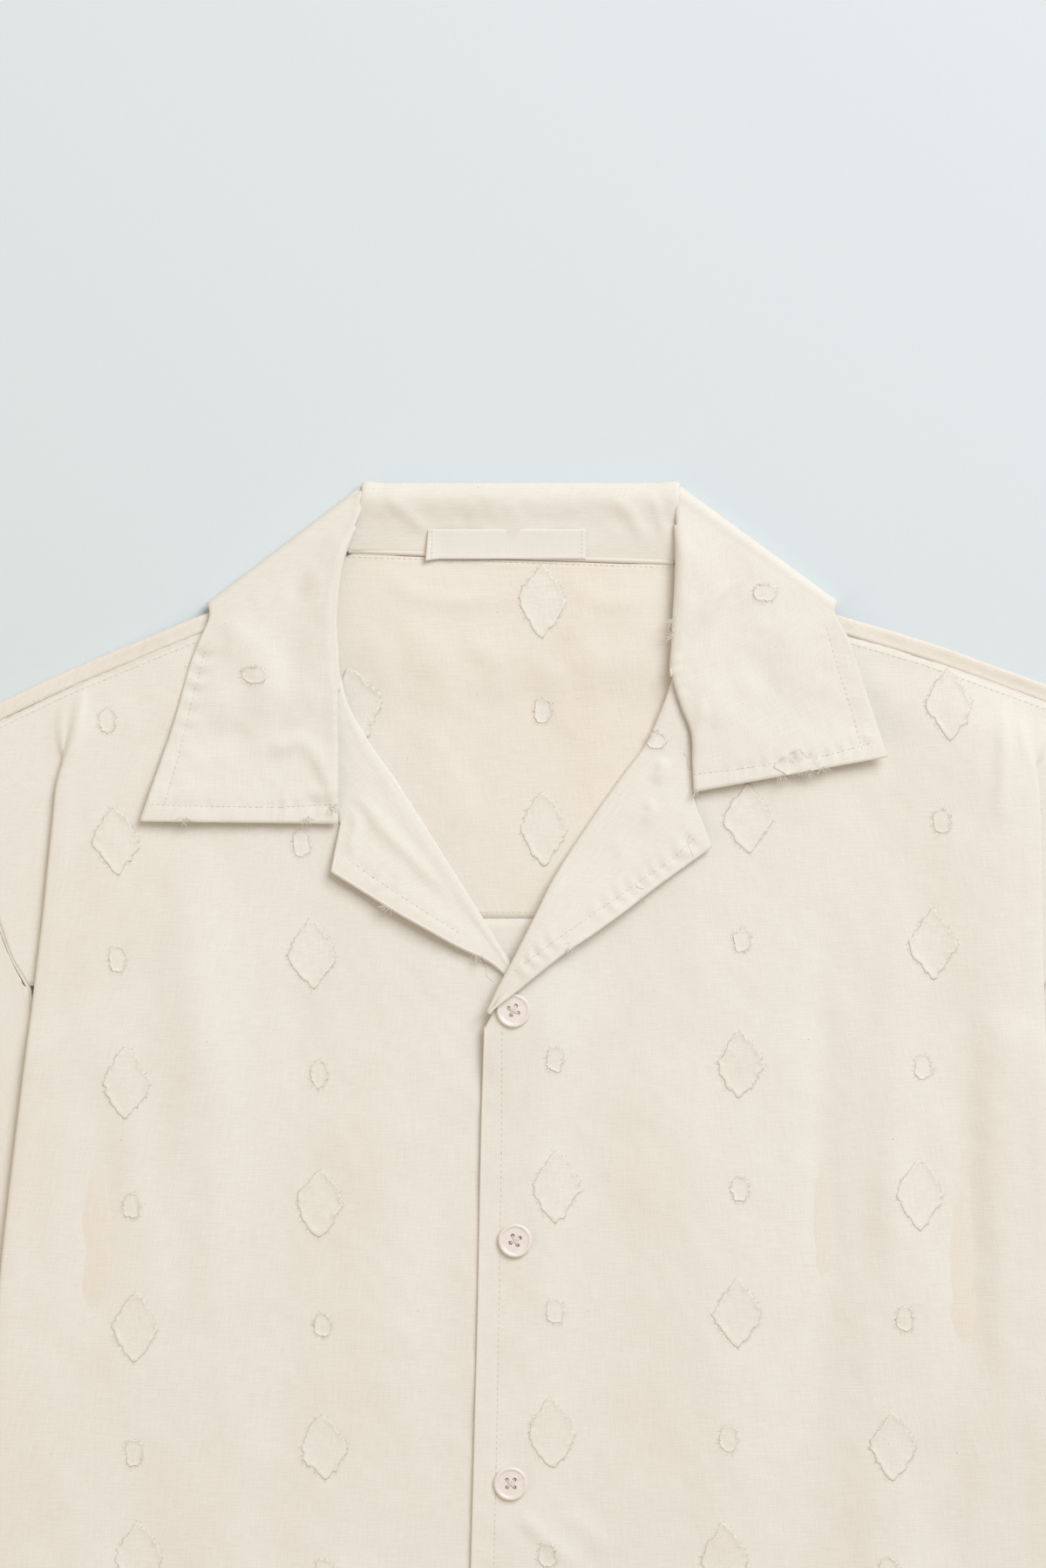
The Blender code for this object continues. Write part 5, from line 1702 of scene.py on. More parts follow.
@dataclass
class Collar(ClothPiece):
    """The one-piece collar: both leaves, the folds at the neck's sides, the fall and the stand."""

    kind = "collar"
    bulge = 0.3
    below = ("front_right", "front_left")
    relief: Relief
    cell: float = 2.0
    thickness: float = 1.35
    across: Tuple[float, ...] = (0.0, 0.08, 0.17, 0.3, 0.48, 0.68, 0.86, 1.0)
    turns: Tuple[float, ...] = (-90.0, -30.0, 30.0, 90.0)
    leaf_parts: Tuple[float, ...] = (0.0, 0.09, 0.19, 0.29, 0.39, 0.49, 0.59, 0.69, 0.79, 0.89, 0.97)
    backs: Tuple[float, ...] = (-0.012, 0.06, 0.16, 0.28, 0.42, 0.58, 0.72, 0.84, 0.94, 1.012)
    cut: Spot = (0.56, 0.20)
    cut_area: float = 0.046

    def fold_line(self, side: Half) -> Tuple[np.ndarray, np.ndarray, np.ndarray]:
        """The fold at the neck's side: its two ends and the direction out of it."""
        inner, outer = np.array(side.gorge_and_roll[-1]), np.array(side.leaf_edge[-1])
        return inner, outer, square(outer - inner)

    def leaf(self, side: Half) -> List[Tuple[List[Sequence[float]], bool]]:
        """Rows of one leaf and of the fold at its end, with whether each has the rolled lip."""
        stations = []
        corner, corner_out, outward = self.fold_line(side)
        for up in self.leaf_parts:
            shift = outward * SILHOUETTE_TURN * ease(up, 0.7, 1.0)
            inner, outer = along(side.gorge_and_roll, up) - shift, along(side.leaf_edge, up) - shift
            direction = (outer - inner) / np.linalg.norm(outer - inner)
            crest = mix(ROLL_CREST, LEAF_LEVEL, ease(up, 0.75, 1.0))
            crest = mix(LEAF_LEVEL, crest, ease(inner[1], 262.0, 300.0))
            rolled = inner[1] > GORGE_TOP_Y - 2.0 and up < 0.95
            grown = ease(inner[1], GORGE_TOP_Y - 2.0, GORGE_TOP_Y + 24.0) * ease(up, 0.93, 0.8)
            turned = ROLL_TURN * mix(0.3, 1.0, grown)
            lip = crest - 2.0 * turned
            line = [(inner + direction * reach, lip, 0.0) for reach in (LIP_LENGTH, 0.6 * LIP_LENGTH)]
            for cos, sin in arc(*self.turns[:-1]):
                line.append((inner + direction * turned * (1.0 - cos), crest - turned + turned * sin, 0.0))
            start = inner + direction * turned
            for part in self.across:
                spot = mix(start, outer, part)
                level = mix(crest, LEAF_LEVEL, ease(np.linalg.norm(spot - inner), LIP_LENGTH, 30.0))
                level += LEAF_FREE_RISE * ease(up, 0.25, 0.0) * ease(part, 0.1, 0.5)
                line.append((spot, level, ease(up, 1.0, 0.85)))
            stations.append((line, rolled))
        line_in, line_out = corner - outward * SILHOUETTE_TURN, corner_out - outward * SILHOUETTE_TURN
        for cos, sin in arc(60.0, 20.0, -20.0, -60.0, -90.0):
            shift = outward * SILHOUETTE_TURN * cos
            level = SILHOUETTE_CENTRE + SILHOUETTE_TURN * sin
            line = [(line_in + shift, level, 0.0)] * (len(self.turns) + 1)
            line += [(mix(line_in, line_out, part) + shift, level, 0.0) for part in self.across]
            stations.append((line, False))
        return [
            ([(side.sign * spot[0], spot[1], level, free) for spot, level, free in line], rolled)
            for line, rolled in stations
        ]

    def behind(self) -> List[List[Sequence[float]]]:
        """Rows of the stand, the roll behind the neck and the fall under the yoke."""
        ends = []
        for side in SIDES:
            corner, corner_out, outward = self.fold_line(side)
            spots = [spot - outward * SILHOUETTE_TURN for spot in (corner, corner_out)]
            ends.append([(side.sign * spot[0], spot[1]) for spot in spots])
        (start_in, start_out), (end_in, end_out) = ends
        edge = (
            start_out, (-118.0, 319.0), (-84.0, 314.0), (0.0, 314.0), (88.0, 314.0), (124.0, 320.0), end_out
        )
        roll_base = ROLL_Y - SILHOUETTE_TURN
        rows = []
        for part in self.backs:
            inner_x = mix(start_in[0], end_in[0], part)
            seam = (mix(-80.2, 77.4, part), mix(NECK_SEAM_RIGHT_Y, NECK_SEAM_LEFT_Y, part) + SEAM_GAP)
            row = []
            for step, free in ((0.0, 0.0), (0.5, 1.0)):
                y = mix(seam[1], roll_base, step)
                row.append((mix(seam[0], inner_x, step), y, stand_level(y), free))
            for (cos, sin), free in zip(arc(90.0, 30.0, -30.0), (0.4, 0.0, 0.0)):
                y = roll_base + SILHOUETTE_TURN * cos
                row.append((inner_x, y, SILHOUETTE_CENTRE + SILHOUETTE_TURN * sin, free))
            outer = along(edge, part)
            for step in self.across:
                spot = mix(np.array((inner_x, roll_base)), outer, step)
                row.append((spot[0], spot[1], FALL_LEVEL, 0.0))
            rows.append(row)
        return rows

    def grid(self) -> ClothGrid:
        """The collar's middle surface, from the right leaf's lower edge round the neck to the left one's."""
        stations = self.leaf(RIGHT) + [(row, True) for row in self.behind()] + self.leaf(LEFT)[::-1]
        rows, flags = zip(*stations)
        lip = len(self.turns) + 1

        def keep(row: int, column: int) -> bool:
            """The lip is cloth only where both of a cell's stations have it."""
            return column >= lip or (flags[row] and flags[row + 1])

        folds = list(range(10, 17)) + list(range(len(rows) - 17, len(rows) - 11))
        return ClothGrid(rows, keep).refine(self.cell, turned_rows=folds, turned_columns=range(1, 5))


@dataclass
class NeckLabel(ClothPiece):
    """The bare label on the stand, sewn down at both ends, one end slightly curled."""

    kind = "label"
    finish = "tape"
    slot = "label_tape"
    bulge = 0.15
    below = ("collar",)
    relief = Relief(swell=0.0, crinkle=0.0)

    thickness: float = 0.5
    curl: float = 1.5
    cell: float = 1.6
    cut: Spot = (0.0764, 0.014)
    cut_area: float = 0.0764 * 0.014

    @property
    def title(self) -> str:
        """The piece's own name."""
        return "label_tape_cloth"

    def grid(self) -> ClothGrid:
        """The label's middle surface, all of it held down."""
        rows = []
        base = COLLAR_CLOTH / 2.0 + SEAM_GAP + LABEL_CLOTH / 2.0
        for row in np.linspace(0.0, 1.0, 8):
            line = []
            for column in np.linspace(0.0, 1.0, 26):
                x = mix(LABEL_RIGHT_X, LABEL_LEFT_X, column)
                y = mix(LABEL_LOW_Y, LABEL_HIGH_Y, row)
                curled = self.curl * ease(column, 0.07, 0.0) * ease(row, 1.0, 0.2)
                wave = 0.25 * math.sin(9.0 * column) * ease(column, 0.0, 0.2) * ease(column, 1.0, 0.8)
                bow = 1.3 * (1.0 - column) ** 2 * (row - 0.5)
                line.append((x + bow, y - 0.6 * curled, stand_level(max(y, 358.0)) + base + wave + curled, 0.0))
            rows.append(line)
        return ClothGrid(rows).refine(self.cell)

    def dress_edge(self, shop: Workshop, grid: ClothGrid) -> None:
        """Sew down both ends."""
        ends = [
            [(x, LABEL_LOW_Y + 0.8), (x + 0.3, LABEL_HIGH_Y - 0.8)]
            for x in (LABEL_RIGHT_X + 2.2, LABEL_LEFT_X - 2.0)
        ]
        shop.sew("label_stitches", self.node, ends, 1.9)


@dataclass
class Buttons:
    """Five dished buttons with four holes each, sewn on through their holes."""

    radius: float = 8.2
    thickness: float = 2.4
    hole_radius: float = 0.85
    spacing: float = 3.7
    facets: int = 48
    hole_facets: int = 14
    profile: Table = (
        (7.2, 0.0), (7.75, 0.15), (8.1, 0.5), (8.2, 1.05), (8.15, 1.6), (7.95, 2.05), (7.6, 2.33), (7.1, 2.4),
        (6.75, 2.3), (6.45, 2.05), (6.2, 1.88), (5.8, 1.8), (4.6, 1.74), (3.4, 1.74),
    )

    def solid(self, profile: Table, facets: int) -> Tuple[List[Place], List[Tuple[int, ...]]]:
        """A turned body from a profile of (radius, level), closed at both ends."""
        points = [(0.0, 0.0, profile[0][1])]
        for radius, level in profile:
            for facet in range(facets):
                turn = math.tau * facet / facets
                points.append((radius * math.cos(turn), radius * math.sin(turn), level))
        points.append((0.0, 0.0, profile[-1][1]))
        return points, capped(len(profile), facets)

    def drilled(self, finish: Material) -> Mesh:
        """A button at the origin with its four holes cut through."""
        points, faces = self.solid(self.profile, self.facets)
        blank = make_mesh("button_blank", np.array(points), faces, finish)
        drill_points: List[Place] = []
        drill_faces: List[Tuple[int, ...]] = []
        half = self.spacing / 2.0
        for side_x, side_y in ((-half, -half), (half, -half), (half, half), (-half, half)):
            made, sides = self.solid(
                ((self.hole_radius, -1.0), (self.hole_radius, 1.35), (self.hole_radius + 0.28, 1.78),
                 (self.hole_radius + 0.3, 3.0)), self.hole_facets
            )
            base = len(drill_points)
            drill_points += [(x + side_x, y + side_y, z) for x, y, z in made]
            drill_faces += [tuple(base + index for index in face) for face in sides]
        drill = make_mesh("button_drill", np.array(drill_points), drill_faces, finish)
        cut = blank.modifiers.new("holes", "BOOLEAN")
        cut.operation, cut.solver, cut.object = "DIFFERENCE", "EXACT", drill
        bpy.context.view_layer.update()
        mesh = bpy.data.meshes.new_from_object(blank.evaluated_get(bpy.context.evaluated_depsgraph_get()))
        bpy.data.objects.remove(blank)
        bpy.data.objects.remove(drill)
        return mesh

    def seat(self, place: Spot) -> float:
        """Level of a button's base."""
        reach = (-self.radius, 0.0, self.radius)
        seats = [front_level(LEFT, place[0] + dx, place[1] + dy) for dx in reach for dy in reach]
        return max(seats) + CLOTH / 2.0 + SEAM_GAP

    def thread_lines(self, place: Spot, base: float, turn: float) -> List[List[Place]]:
        """The crossed strands of sewing thread of one button."""
        lines = []
        half = self.spacing / 2.0
        for first, second in (((-half, -half), (half, half)), ((half, -half), (-half, half))):
            for strand in (-0.36, -0.12, 0.12, 0.36):
                run = np.array(second) - np.array(first)
                side = square(run) * strand
                line = []
                for part in (0.0, 0.06, 0.16, 0.32, 0.5, 0.68, 0.84, 0.94, 1.0):
                    spot = np.array(first) + run * part + side * (0.4 + 0.6 * math.sin(math.pi * part))
                    lifted = 1.95 + (0.25 if first[0] > 0 else 0.05) * math.sin(math.pi * part)
                    level = mix(0.9, lifted, ease(min(part, 1.0 - part), 0.0, 0.14))
                    line.append((*spun(place, spot[0], spot[1], turn), base + level))
                lines.append(line)
        return lines

    def build(self, shop: Workshop) -> None:
        """Make the five buttons and their thread."""
        mesh = self.drilled(shop.finishes.shell)
        count = len(mesh.vertices)
        coordinates = np.empty(3 * count)
        mesh.vertices.foreach_get("co", coordinates)
        coordinates = coordinates.reshape(-1, 3)
        lines = []
        for number, place in enumerate(BUTTONS, start=1):
            turn = 0.35 * math.sin(2.1 * number)
            base = self.seat(place)
            own = mesh.copy()
            own.name = "button_%d_dressed" % number
            middle = place[0] * MILLIMETRE, place[1] * MILLIMETRE
            across, lengthwise = spun(middle, coordinates[:, 0], coordinates[:, 1], turn)
            turned = np.stack((across, lengthwise, coordinates[:, 2] + base * MILLIMETRE), axis=1)
            own.vertices.foreach_set("co", turned.ravel())
            own.shade_smooth()
            own.set_sharp_from_angle(angle=math.radians(40.0))
            own.update()
            piece = bpy.data.objects.new(own.name, own)
            bpy.context.scene.collection.objects.link(piece)
            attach(piece, "root")
            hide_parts("button_%d" % number)
            lines += self.thread_lines(place, base, turn)
        bpy.data.meshes.remove(mesh)
        shop.strands("button_thread", "front_left", lines, 0.19, shop.finishes.thread)


@dataclass(frozen=True)
class Motif:
    """One clipped motif: its place, its turn in radians and its own seed."""

    x: float
    y: float
    kind: MotifKind = MotifKind.DIAMOND
    turn: float = 0.0
    seed: int = 1
    scale: float = 1.0


@dataclass
class MotifSet:
    """The clipped motifs on one cloth piece, each a thin ragged patch with fibres round its edge."""

    node: str
    motifs: List[Motif]
    rise: float = 0.27
    spokes: int = 72
    rings: Tuple[Spot, ...] = (
        (0.25, 0.3), (0.5, 0.3), (0.7, 0.34), (0.8, 0.6), (0.89, 1.7), (0.96, 1.75), (1.0, 0.5), (0.985, -0.6),
    )

    def outline(self, motif: Motif, angle: float) -> float:
        """Distance of the ragged outline from the motif's middle at an angle."""
        half_width, half_height, power = motif.kind.value
        across, lengthwise = abs(math.cos(angle)) / half_width, abs(math.sin(angle)) / half_height
        plain = (across**power + lengthwise**power) ** (-1.0 / power)
        row = np.array([motif.seed * 3.7])
        ragged, broad, fine = (
            value_noise(np.array([angle * 6.0 + 40.0]) * finer, row, 1.0, 1.0, motif.seed + shift)[0]
            for finer, shift in ((1.0, 0), (0.27, 9), (3.1, 4))
        )
        share = (0.08, 0.08, 0.035) if motif.kind is MotifKind.DIAMOND else (0.12, 0.12, 0.05)
        size = 0.98 + share[0] * ragged + share[1] * broad + share[2] * fine
        return plain * size * motif.scale

    def patch(self, motif: Motif, draper: Draper) -> Optional[Tuple[List, List, List, List]]:
        """One patch: its points and faces, and the places and directions of its fibres."""
        spokes = self.spokes if motif.kind is MotifKind.DIAMOND else self.spokes // 2
        middle = draper.drop(motif.x, motif.y)
        if middle is None:
            return None
        points = [(motif.x, motif.y, middle + self.rise * 0.9)]
        heights = value_noise(np.arange(spokes) * 0.35, np.full(spokes, motif.seed), 1.0, 1.0, motif.seed + 5)
        fibres, away = [], []
        for ring, (share, lift) in enumerate(self.rings):
            for spoke in range(spokes):
                angle = math.tau * spoke / spokes
                distance = self.outline(motif, angle) * share
                across, lengthwise = distance * math.cos(angle), distance * math.sin(angle)
                x, y = spun((motif.x, motif.y), across, lengthwise, motif.turn)
                found = draper.drop(x, y)
                for _ in range(PULL_STEPS):
                    if found is not None and abs(found - middle) < PATCH_STEP:
                        break
                    x, y = mix(motif.x, x, PULL_SHARE), mix(motif.y, y, PULL_SHARE)
                    found = draper.drop(x, y)
                else:
                    return None
                edge = max(0.0, share - 0.7) / 0.3
                level = self.rise * lift * (1.0 + 0.65 * edge * heights[spoke])
                points.append((x, y, found + level))
                if ring == FIBRE_RING:
                    direction = (x - motif.x, y - motif.y)
                    length = math.hypot(*direction)
                    fibres.append(points[-1])
                    away.append((direction[0] / length, direction[1] / length, 0.25))
        points.append((motif.x, motif.y, middle - 0.2))
        faces = [face[:1] + face[:0:-1] for face in capped(len(self.rings), spokes)]
        return points, faces, fibres, away

    def build(self, shop: Workshop) -> None:
        """Make the patches and the fibres of every motif that fits on the cloth."""
        draper = Draper(shop.hosts[self.node])
        points: List[Place] = []
        faces: List[Tuple[int, ...]] = []
        fibres: List[Place] = []
        away: List[Place] = []
        for motif in self.motifs:
            made = self.patch(motif, draper)
            if made is None:
                LOG.info("motif at %.0f, %.0f leaves %s and is left out", motif.x, motif.y, self.node)
                continue
            base = len(points)
            points += made[0]
            faces += [tuple(base + index for index in face) for face in made[1]]
            shift = np.random.default_rng(motif.seed).normal(0.0, 0.3, (2 * len(made[2]), 2))
            for number in range(2 * len(made[2])):
                x, y, z = made[2][number % len(made[2])]
                fibres.append((x + shift[number, 0], y + shift[number, 1], z - 0.1))
                away.append(made[3][number % len(made[2])])
        if points:
            shop.trim(make_mesh("motifs_" + self.node, np.array(points), faces, shop.finishes.motif), self.node)
            sizes = {"Length": 0.0014, "Radius": 0.00005, "Spread": 0.9, "Seed": 3}
            fray = shop.fray.run("motif_fray_" + self.node, point_mesh(fibres, away), shop.finishes.fray, sizes)
            shop.trim(fray, self.node)


@dataclass
class Studio:
    """The photograph's straight-down view, a pale floor and soft light from the upper right."""

    frame_height: float = 0.75558
    distance: float = 2.0
    plane: float = 0.006
    centre: Spot = (0.0042, 0.2478)
    sensor: float = 36.0
    sky_colour: Colour = (1.0, 0.895, 0.765, 1.0)
    sky_strength: float = 0.47

    def area(self, name: str, place: Place, size: float, power: float, colour: Place) -> None:
        """Add a square soft light that looks at the shirt."""
        lamp = bpy.data.lights.new(name, "AREA")
        lamp.shape, lamp.size, lamp.energy, lamp.color = "SQUARE", size, power, colour
        item = bpy.data.objects.new(name, lamp)
        item.location = place
        aim = Vector((0.0, 0.15, 0.0)) - Vector(place)
        item.rotation_euler = aim.to_track_quat("-Z", "Y").to_euler()
        bpy.context.scene.collection.objects.link(item)

    def build(self, shop: Workshop) -> None:
        """Make the camera, the floor and the lights."""
        scene = bpy.context.scene
        lens = bpy.data.cameras.new("camera")
        lens.sensor_width = self.sensor
        lens.lens = self.sensor * self.distance / self.frame_height
        lens.clip_end = 20.0
        camera = bpy.data.objects.new("camera", lens)
        camera.location = (self.centre[0], self.centre[1], self.plane + self.distance)
        scene.collection.objects.link(camera)
        scene.camera = camera
        corners = [(x, y, FLOOR_LEVEL) for x, y in FLOOR_CORNERS]
        floor = make_mesh("floor", np.array(corners), [(0, 1, 2, 3)], shop.finishes.floor)
        world = bpy.data.worlds.new("soft_room")
        world.use_nodes = True
        board = Board(world.node_tree)
        world.node_tree.nodes.clear()
        sky = board.node("ShaderNodeBackground", {}, {"Color": self.sky_colour, "Strength": self.sky_strength})
        board.node("ShaderNodeOutputWorld", {}, {"Surface": sky})
        scene.world = world
        self.area("key", (1.5, 2.2, 2.9), 2.3, 104.0, (0.975, 1.028, 1.085))
        self.area("fill", (-1.9, -1.1, 1.3), 1.6, 10.0, (1.0, 0.82, 0.64))
        scene.view_settings.view_transform = "Standard"
        scene.view_settings.look = "None"
        LOG.info("studio built")


def charted_creases(*rows: Sequence) -> Tuple[Crease, ...]:
    """Creases from rows of three places in the photo, a half width and a height."""
    return tuple(Crease(seen(*row[:3]), *row[3:]) for row in rows)


LEAF_HEM_RIGHT = seen((176, 923), (250, 925), (320, 926), (386, 922))
LEAF_SIDE_RIGHT = seen((237, 742), (222, 800), (205, 870), (190, 922))
LEAF_HEM_LEFT = seen((797, 888), (840, 883), (880, 877), (950, 866), (996, 853))
LEAF_SIDE_LEFT = seen((948, 722), (962, 770), (978, 820), (988, 858))
LAPEL_SEAM_RIGHT = seen((401, 986), (430, 1007), (461, 1028), (495, 1050), (525, 1069))
LAPEL_SEAM_LEFT = seen((796, 962), (772, 985), (745, 1003), (700, 1035), (640, 1076), (592, 1112))
PLACKET_SEAM = ((-5.8, 128.0), (-6.2, 60.0), (-8.2, -60.0), (-11.0, -180.0), (-12.8, -300.0), (-13.8, -389.0))
HEM_LINE_LEFT = ((-20.0, -377.0), (120.0, -377.0), (268.0, -377.0))
HEM_LINE_RIGHT = ((12.0, -377.0), (-120.0, -377.0), (-264.0, -377.0))
SHOULDER_LINE_RIGHT = tuple((-x, y - 11.5) for x, y in RIGHT.shoulder[1:])
SHOULDER_LINE_LEFT = tuple((x, y - 11.5) for x, y in LEFT.shoulder[1:])
STRIP_RIGHT = tuple((-x, y - 4.3) for x, y in RIGHT.shoulder[1:])
STRIP_LEFT = tuple((x, y - 4.3) for x, y in LEFT.shoulder[1:])
YOKE_LINE = ((-60.0, YOKE_SEAM_Y + 3.0), (60.0, YOKE_SEAM_Y + 3.0))
NECK_LINE = ((-82.0, NECK_SEAM_RIGHT_Y - 2.6), (80.0, NECK_SEAM_LEFT_Y - 2.6))

RIGHT_CREASES = charted_creases(
    ((204, 930), (236, 1190), (249, 1330), 15.0, 2.7),
    ((96, 1180), (118, 1340), (112, 1560), 13.0, -1.9),
    ((448, 1180), (430, 1420), (448, 1700), 24.0, 1.7),
    ((508, 1240), (500, 1500), (512, 1780), 15.0, -1.4),
) + (
    Crease(((-150.0, -60.0), (-132.0, -230.0), (-146.0, -380.0)), 16.0, 3.1),
    Crease(((-60.0, -150.0), (-72.0, -290.0), (-64.0, -385.0)), 14.0, 2),
)
LEFT_CREASES = charted_creases(
    ((948, 1000), (940, 1300), (958, 1640), 9.0, -2.2),
    ((1122, 1060), (1105, 1330), (1120, 1700), 13.0, -2.5),
    ((1018, 960), (1028, 1240), (1016, 1560), 12.0, 2.4),
    ((1150, 790), (1152, 860), (1146, 960), 3.2, 1.7),
    ((588, 1730), (620, 1762), (668, 1806), 3.4, 1.5),
    ((640, 1735), (668, 1752), (706, 1790), 3.0, 1),
    ((700, 1190), (760, 1300), (742, 1440), 20.0, 1.5),
) + (
    Crease(((60.0, -150.0), (70.0, -280.0), (62.0, -388.0)), 16.0, 2.5),
    Crease(((150.0, -90.0), (140.0, -240.0), (152.0, -386.0)), 14.0, -2),
)
COLLAR_CREASES = charted_creases(
    ((250, 704), (296, 762), (330, 840), 9.0, 1.6),
    ((298, 864), (346, 850), (386, 884), 4.0, 1.3),
    ((214, 868), (250, 842), (302, 850), 7.0, -1.2),
    ((344, 640), (352, 720), (338, 800), 8.0, -1.2),
    ((860, 740), (880, 790), (868, 850), 6.0, -1.1),
    ((838, 664), (816, 692), (803, 722), 3.0, 1.4),
    ((806, 796), (804, 836), (796, 872), 3.0, 1.4),
    ((360, 862), (374, 892), (390, 928), 3.4, 1.5),
    ((345, 916), (362, 908), (384, 916), 2.6, 1),
    ((300, 640), (270, 700), (262, 760), 9.0, 1),
    ((900, 700), (925, 760), (930, 830), 10.0, 1),
    ((440, 566), (470, 592), (496, 616), 3.4, 1),
    ((694, 562), (724, 590), (742, 622), 3.4, 1.2),
    ((748, 560), (756, 594), (766, 620), 2.8, 0.9),
    ((560, 562), (566, 580), (560, 600), 3.6, 0.6),
)
YOKE_CREASES = charted_creases(
    ((424, 662), (510, 690), (600, 680), 4.5, 1.3),
    ((640, 662), (700, 692), (768, 684), 4.0, 1.1),
    ((402, 700), (436, 765), (446, 840), 7.0, 1.5),
    ((520, 720), (570, 760), (566, 830), 6.0, 1.0),
    ((430, 700), (500, 760), (520, 860), 13.0, 1.5),
    ((690, 670), (660, 730), (700, 800), 9.0, 1.2),
    ((468, 650), (520, 668), (584, 662), 4.5, 0.8),
    ((606, 742), (640, 790), (636, 860), 8.0, 0.9),
    ((470, 800), (520, 900), (560, 990), 11.0, 1.3),
)


def shoulder_seam(side: Half, *outs: float) -> Table:
    """The seam between yoke and front, at distances from the shirt's middle."""
    return tuple((side.sign * out, read(side.shoulder, out) - YOKE_WRAP) for out in outs)


def armhole_seam(side: Half, *lower: Spot) -> Table:
    """The seam between front and sleeve, carried on below the armhole's charted part."""
    return tuple((side.sign * (out + 0.2), y) for y, out in lower + side.armhole)


SEAM_LINES = {
    "shoulder_seam_right": (
        "front_right", shoulder_seam(RIGHT, 100.0, 125.0, 149.0, 182.0, 216.0, 242.0, 266.0), (0.0, -1.4)
    ),
    "shoulder_seam_left": (
        "front_left", shoulder_seam(LEFT, 100.0, 128.0, 155.0, 197.0, 226.0, 256.0, 274.0), (0.0, -1.4)
    ),
    "armhole_seam_right": ("sleeve_right", armhole_seam(RIGHT, (138.0, 232.0), (144.0, 232.8)), (-2.2, 0.0)),
    "armhole_seam_left": ("sleeve_left", armhole_seam(LEFT, (138.5, 254.8), (144.0, 255.6)), (2.2, 0.0)),
    "neck_seam": ("yoke", ((-80.0, NECK_SEAM_RIGHT_Y + 0.2), (77.0, NECK_SEAM_LEFT_Y + 0.2)), (0.0, -3.6)),
    "gorge_seam_right": ("facing_right", ((-84.0, 230.0), (-84.0, 262.0), (-83.2, 286.0)), (1.5, 0.0)),
    "gorge_seam_left": (
        "facing_left", ((85.7, 245.0), (84.4, 270.0), (83.0, 279.0), (78.5, 285.0)), (-2.4, -0.8)
    ),
}


def fronts() -> Tuple[Front, Front]:
    """The two fronts with their own folds and puckers."""
    right = Front(
        RIGHT,
        Relief(
            RIGHT_CREASES,
            (
                SeamPucker(SHOULDER_LINE_RIGHT, 7.0, 0.75, 5.0, 0.2, 4),
                SeamPucker(HEM_LINE_RIGHT, 10.0, 0.75, 8.0, 0.2, 5),
            ),
            swell=1.5, crinkle=0.32, seed=21,
        ),
        cut=(0.300, 0.715), cut_area=0.185,
    )
    left = Front(
        LEFT,
        Relief(
            LEFT_CREASES,
            (
                SeamPucker(SHOULDER_LINE_LEFT, 8.0, 0.60, 5.0, 0.2, 8),
                SeamPucker(HEM_LINE_LEFT, 11.0, 0.75, 8.0, 0.2, 9),
                SeamPucker(PLACKET_SEAM, 14.0, 0.33, 7.0, 0.12, 10),
            ),
            swell=1.5, crinkle=0.32, seed=33,
        ),
        cut=(0.312, 0.715), cut_area=0.198,
    )
    return right, left


def lapels() -> Tuple[Lapel, Lapel]:
    """The two lapels with their puckered edges."""
    right = Lapel(
        RIGHT,
        Relief(
            charted_creases(
                ((400, 898), (440, 950), (530, 1042), 3.6, 1.7),
                ((404, 926), (410, 950), (398, 985), 2.6, 1.1),
            ),
            (SeamPucker(LAPEL_SEAM_RIGHT, 6.5, 0.75, 4.0, 0.25, 12),),
            swell=0.45, swell_width=30.0, swell_length=40.0, crinkle=0.22, crinkle_size=9.0, seed=5,
        ),
    )
    left = Lapel(
        LEFT,
        Relief(
            charted_creases(
                ((758, 868), (760, 884), (752, 902), 2.6, 1.3),
                ((742, 914), (748, 930), (738, 948), 2.4, 1.1),
                ((706, 950), (716, 990), (700, 1022), 4.0, 0.6),
            ),
            (SeamPucker(LAPEL_SEAM_LEFT, 7.5, 0.83, 5.0, 0.22, 14),),
            swell=0.45, swell_width=34.0, swell_length=40.0, crinkle=0.2, crinkle_size=10.0, seed=6,
        ),
        corners=(0.3632,), extra=(-0.1, -0.05, 0.0385, 1.12, 1.28), notch=0.21, climb=(4.2, 12.0),
    )
    return right, left


def collar() -> Collar:
    """The collar with its topstitched edges."""
    return Collar(
        Relief(
            COLLAR_CREASES,
            (
                SeamPucker(LEAF_HEM_RIGHT, 7.0, 1.05, 4.5, 0.3, 15),
                SeamPucker(LEAF_SIDE_RIGHT, 8.0, 0.90, 4.5, 0.3, 16),
                SeamPucker(LEAF_HEM_LEFT, 7.0, 0.83, 4.5, 0.3, 17),
                SeamPucker(LEAF_SIDE_LEFT, 8.0, 0.60, 4.5, 0.3, 18),
                SeamPucker(seen((388, 800), (389, 870), (389, 940)), 6.0, 0.75, 5.0, 0.0, 19),
                SeamPucker(seen((772, 752), (779, 800), (790, 850)), 6.0, 0.6, 4.0, 0.0, 20),
            ),
            swell=1.1, swell_width=34.0, swell_length=40.0, crinkle=0.38, crinkle_size=12.0, seed=9,
        )
    )


def charted(x: float, y: float, kind: MotifKind, turn: float, seed: int, scale: float = 1.0) -> Motif:
    """A motif whose middle was charted in the photo."""
    return Motif(*seen((x, y))[0], kind, turn, seed, scale)


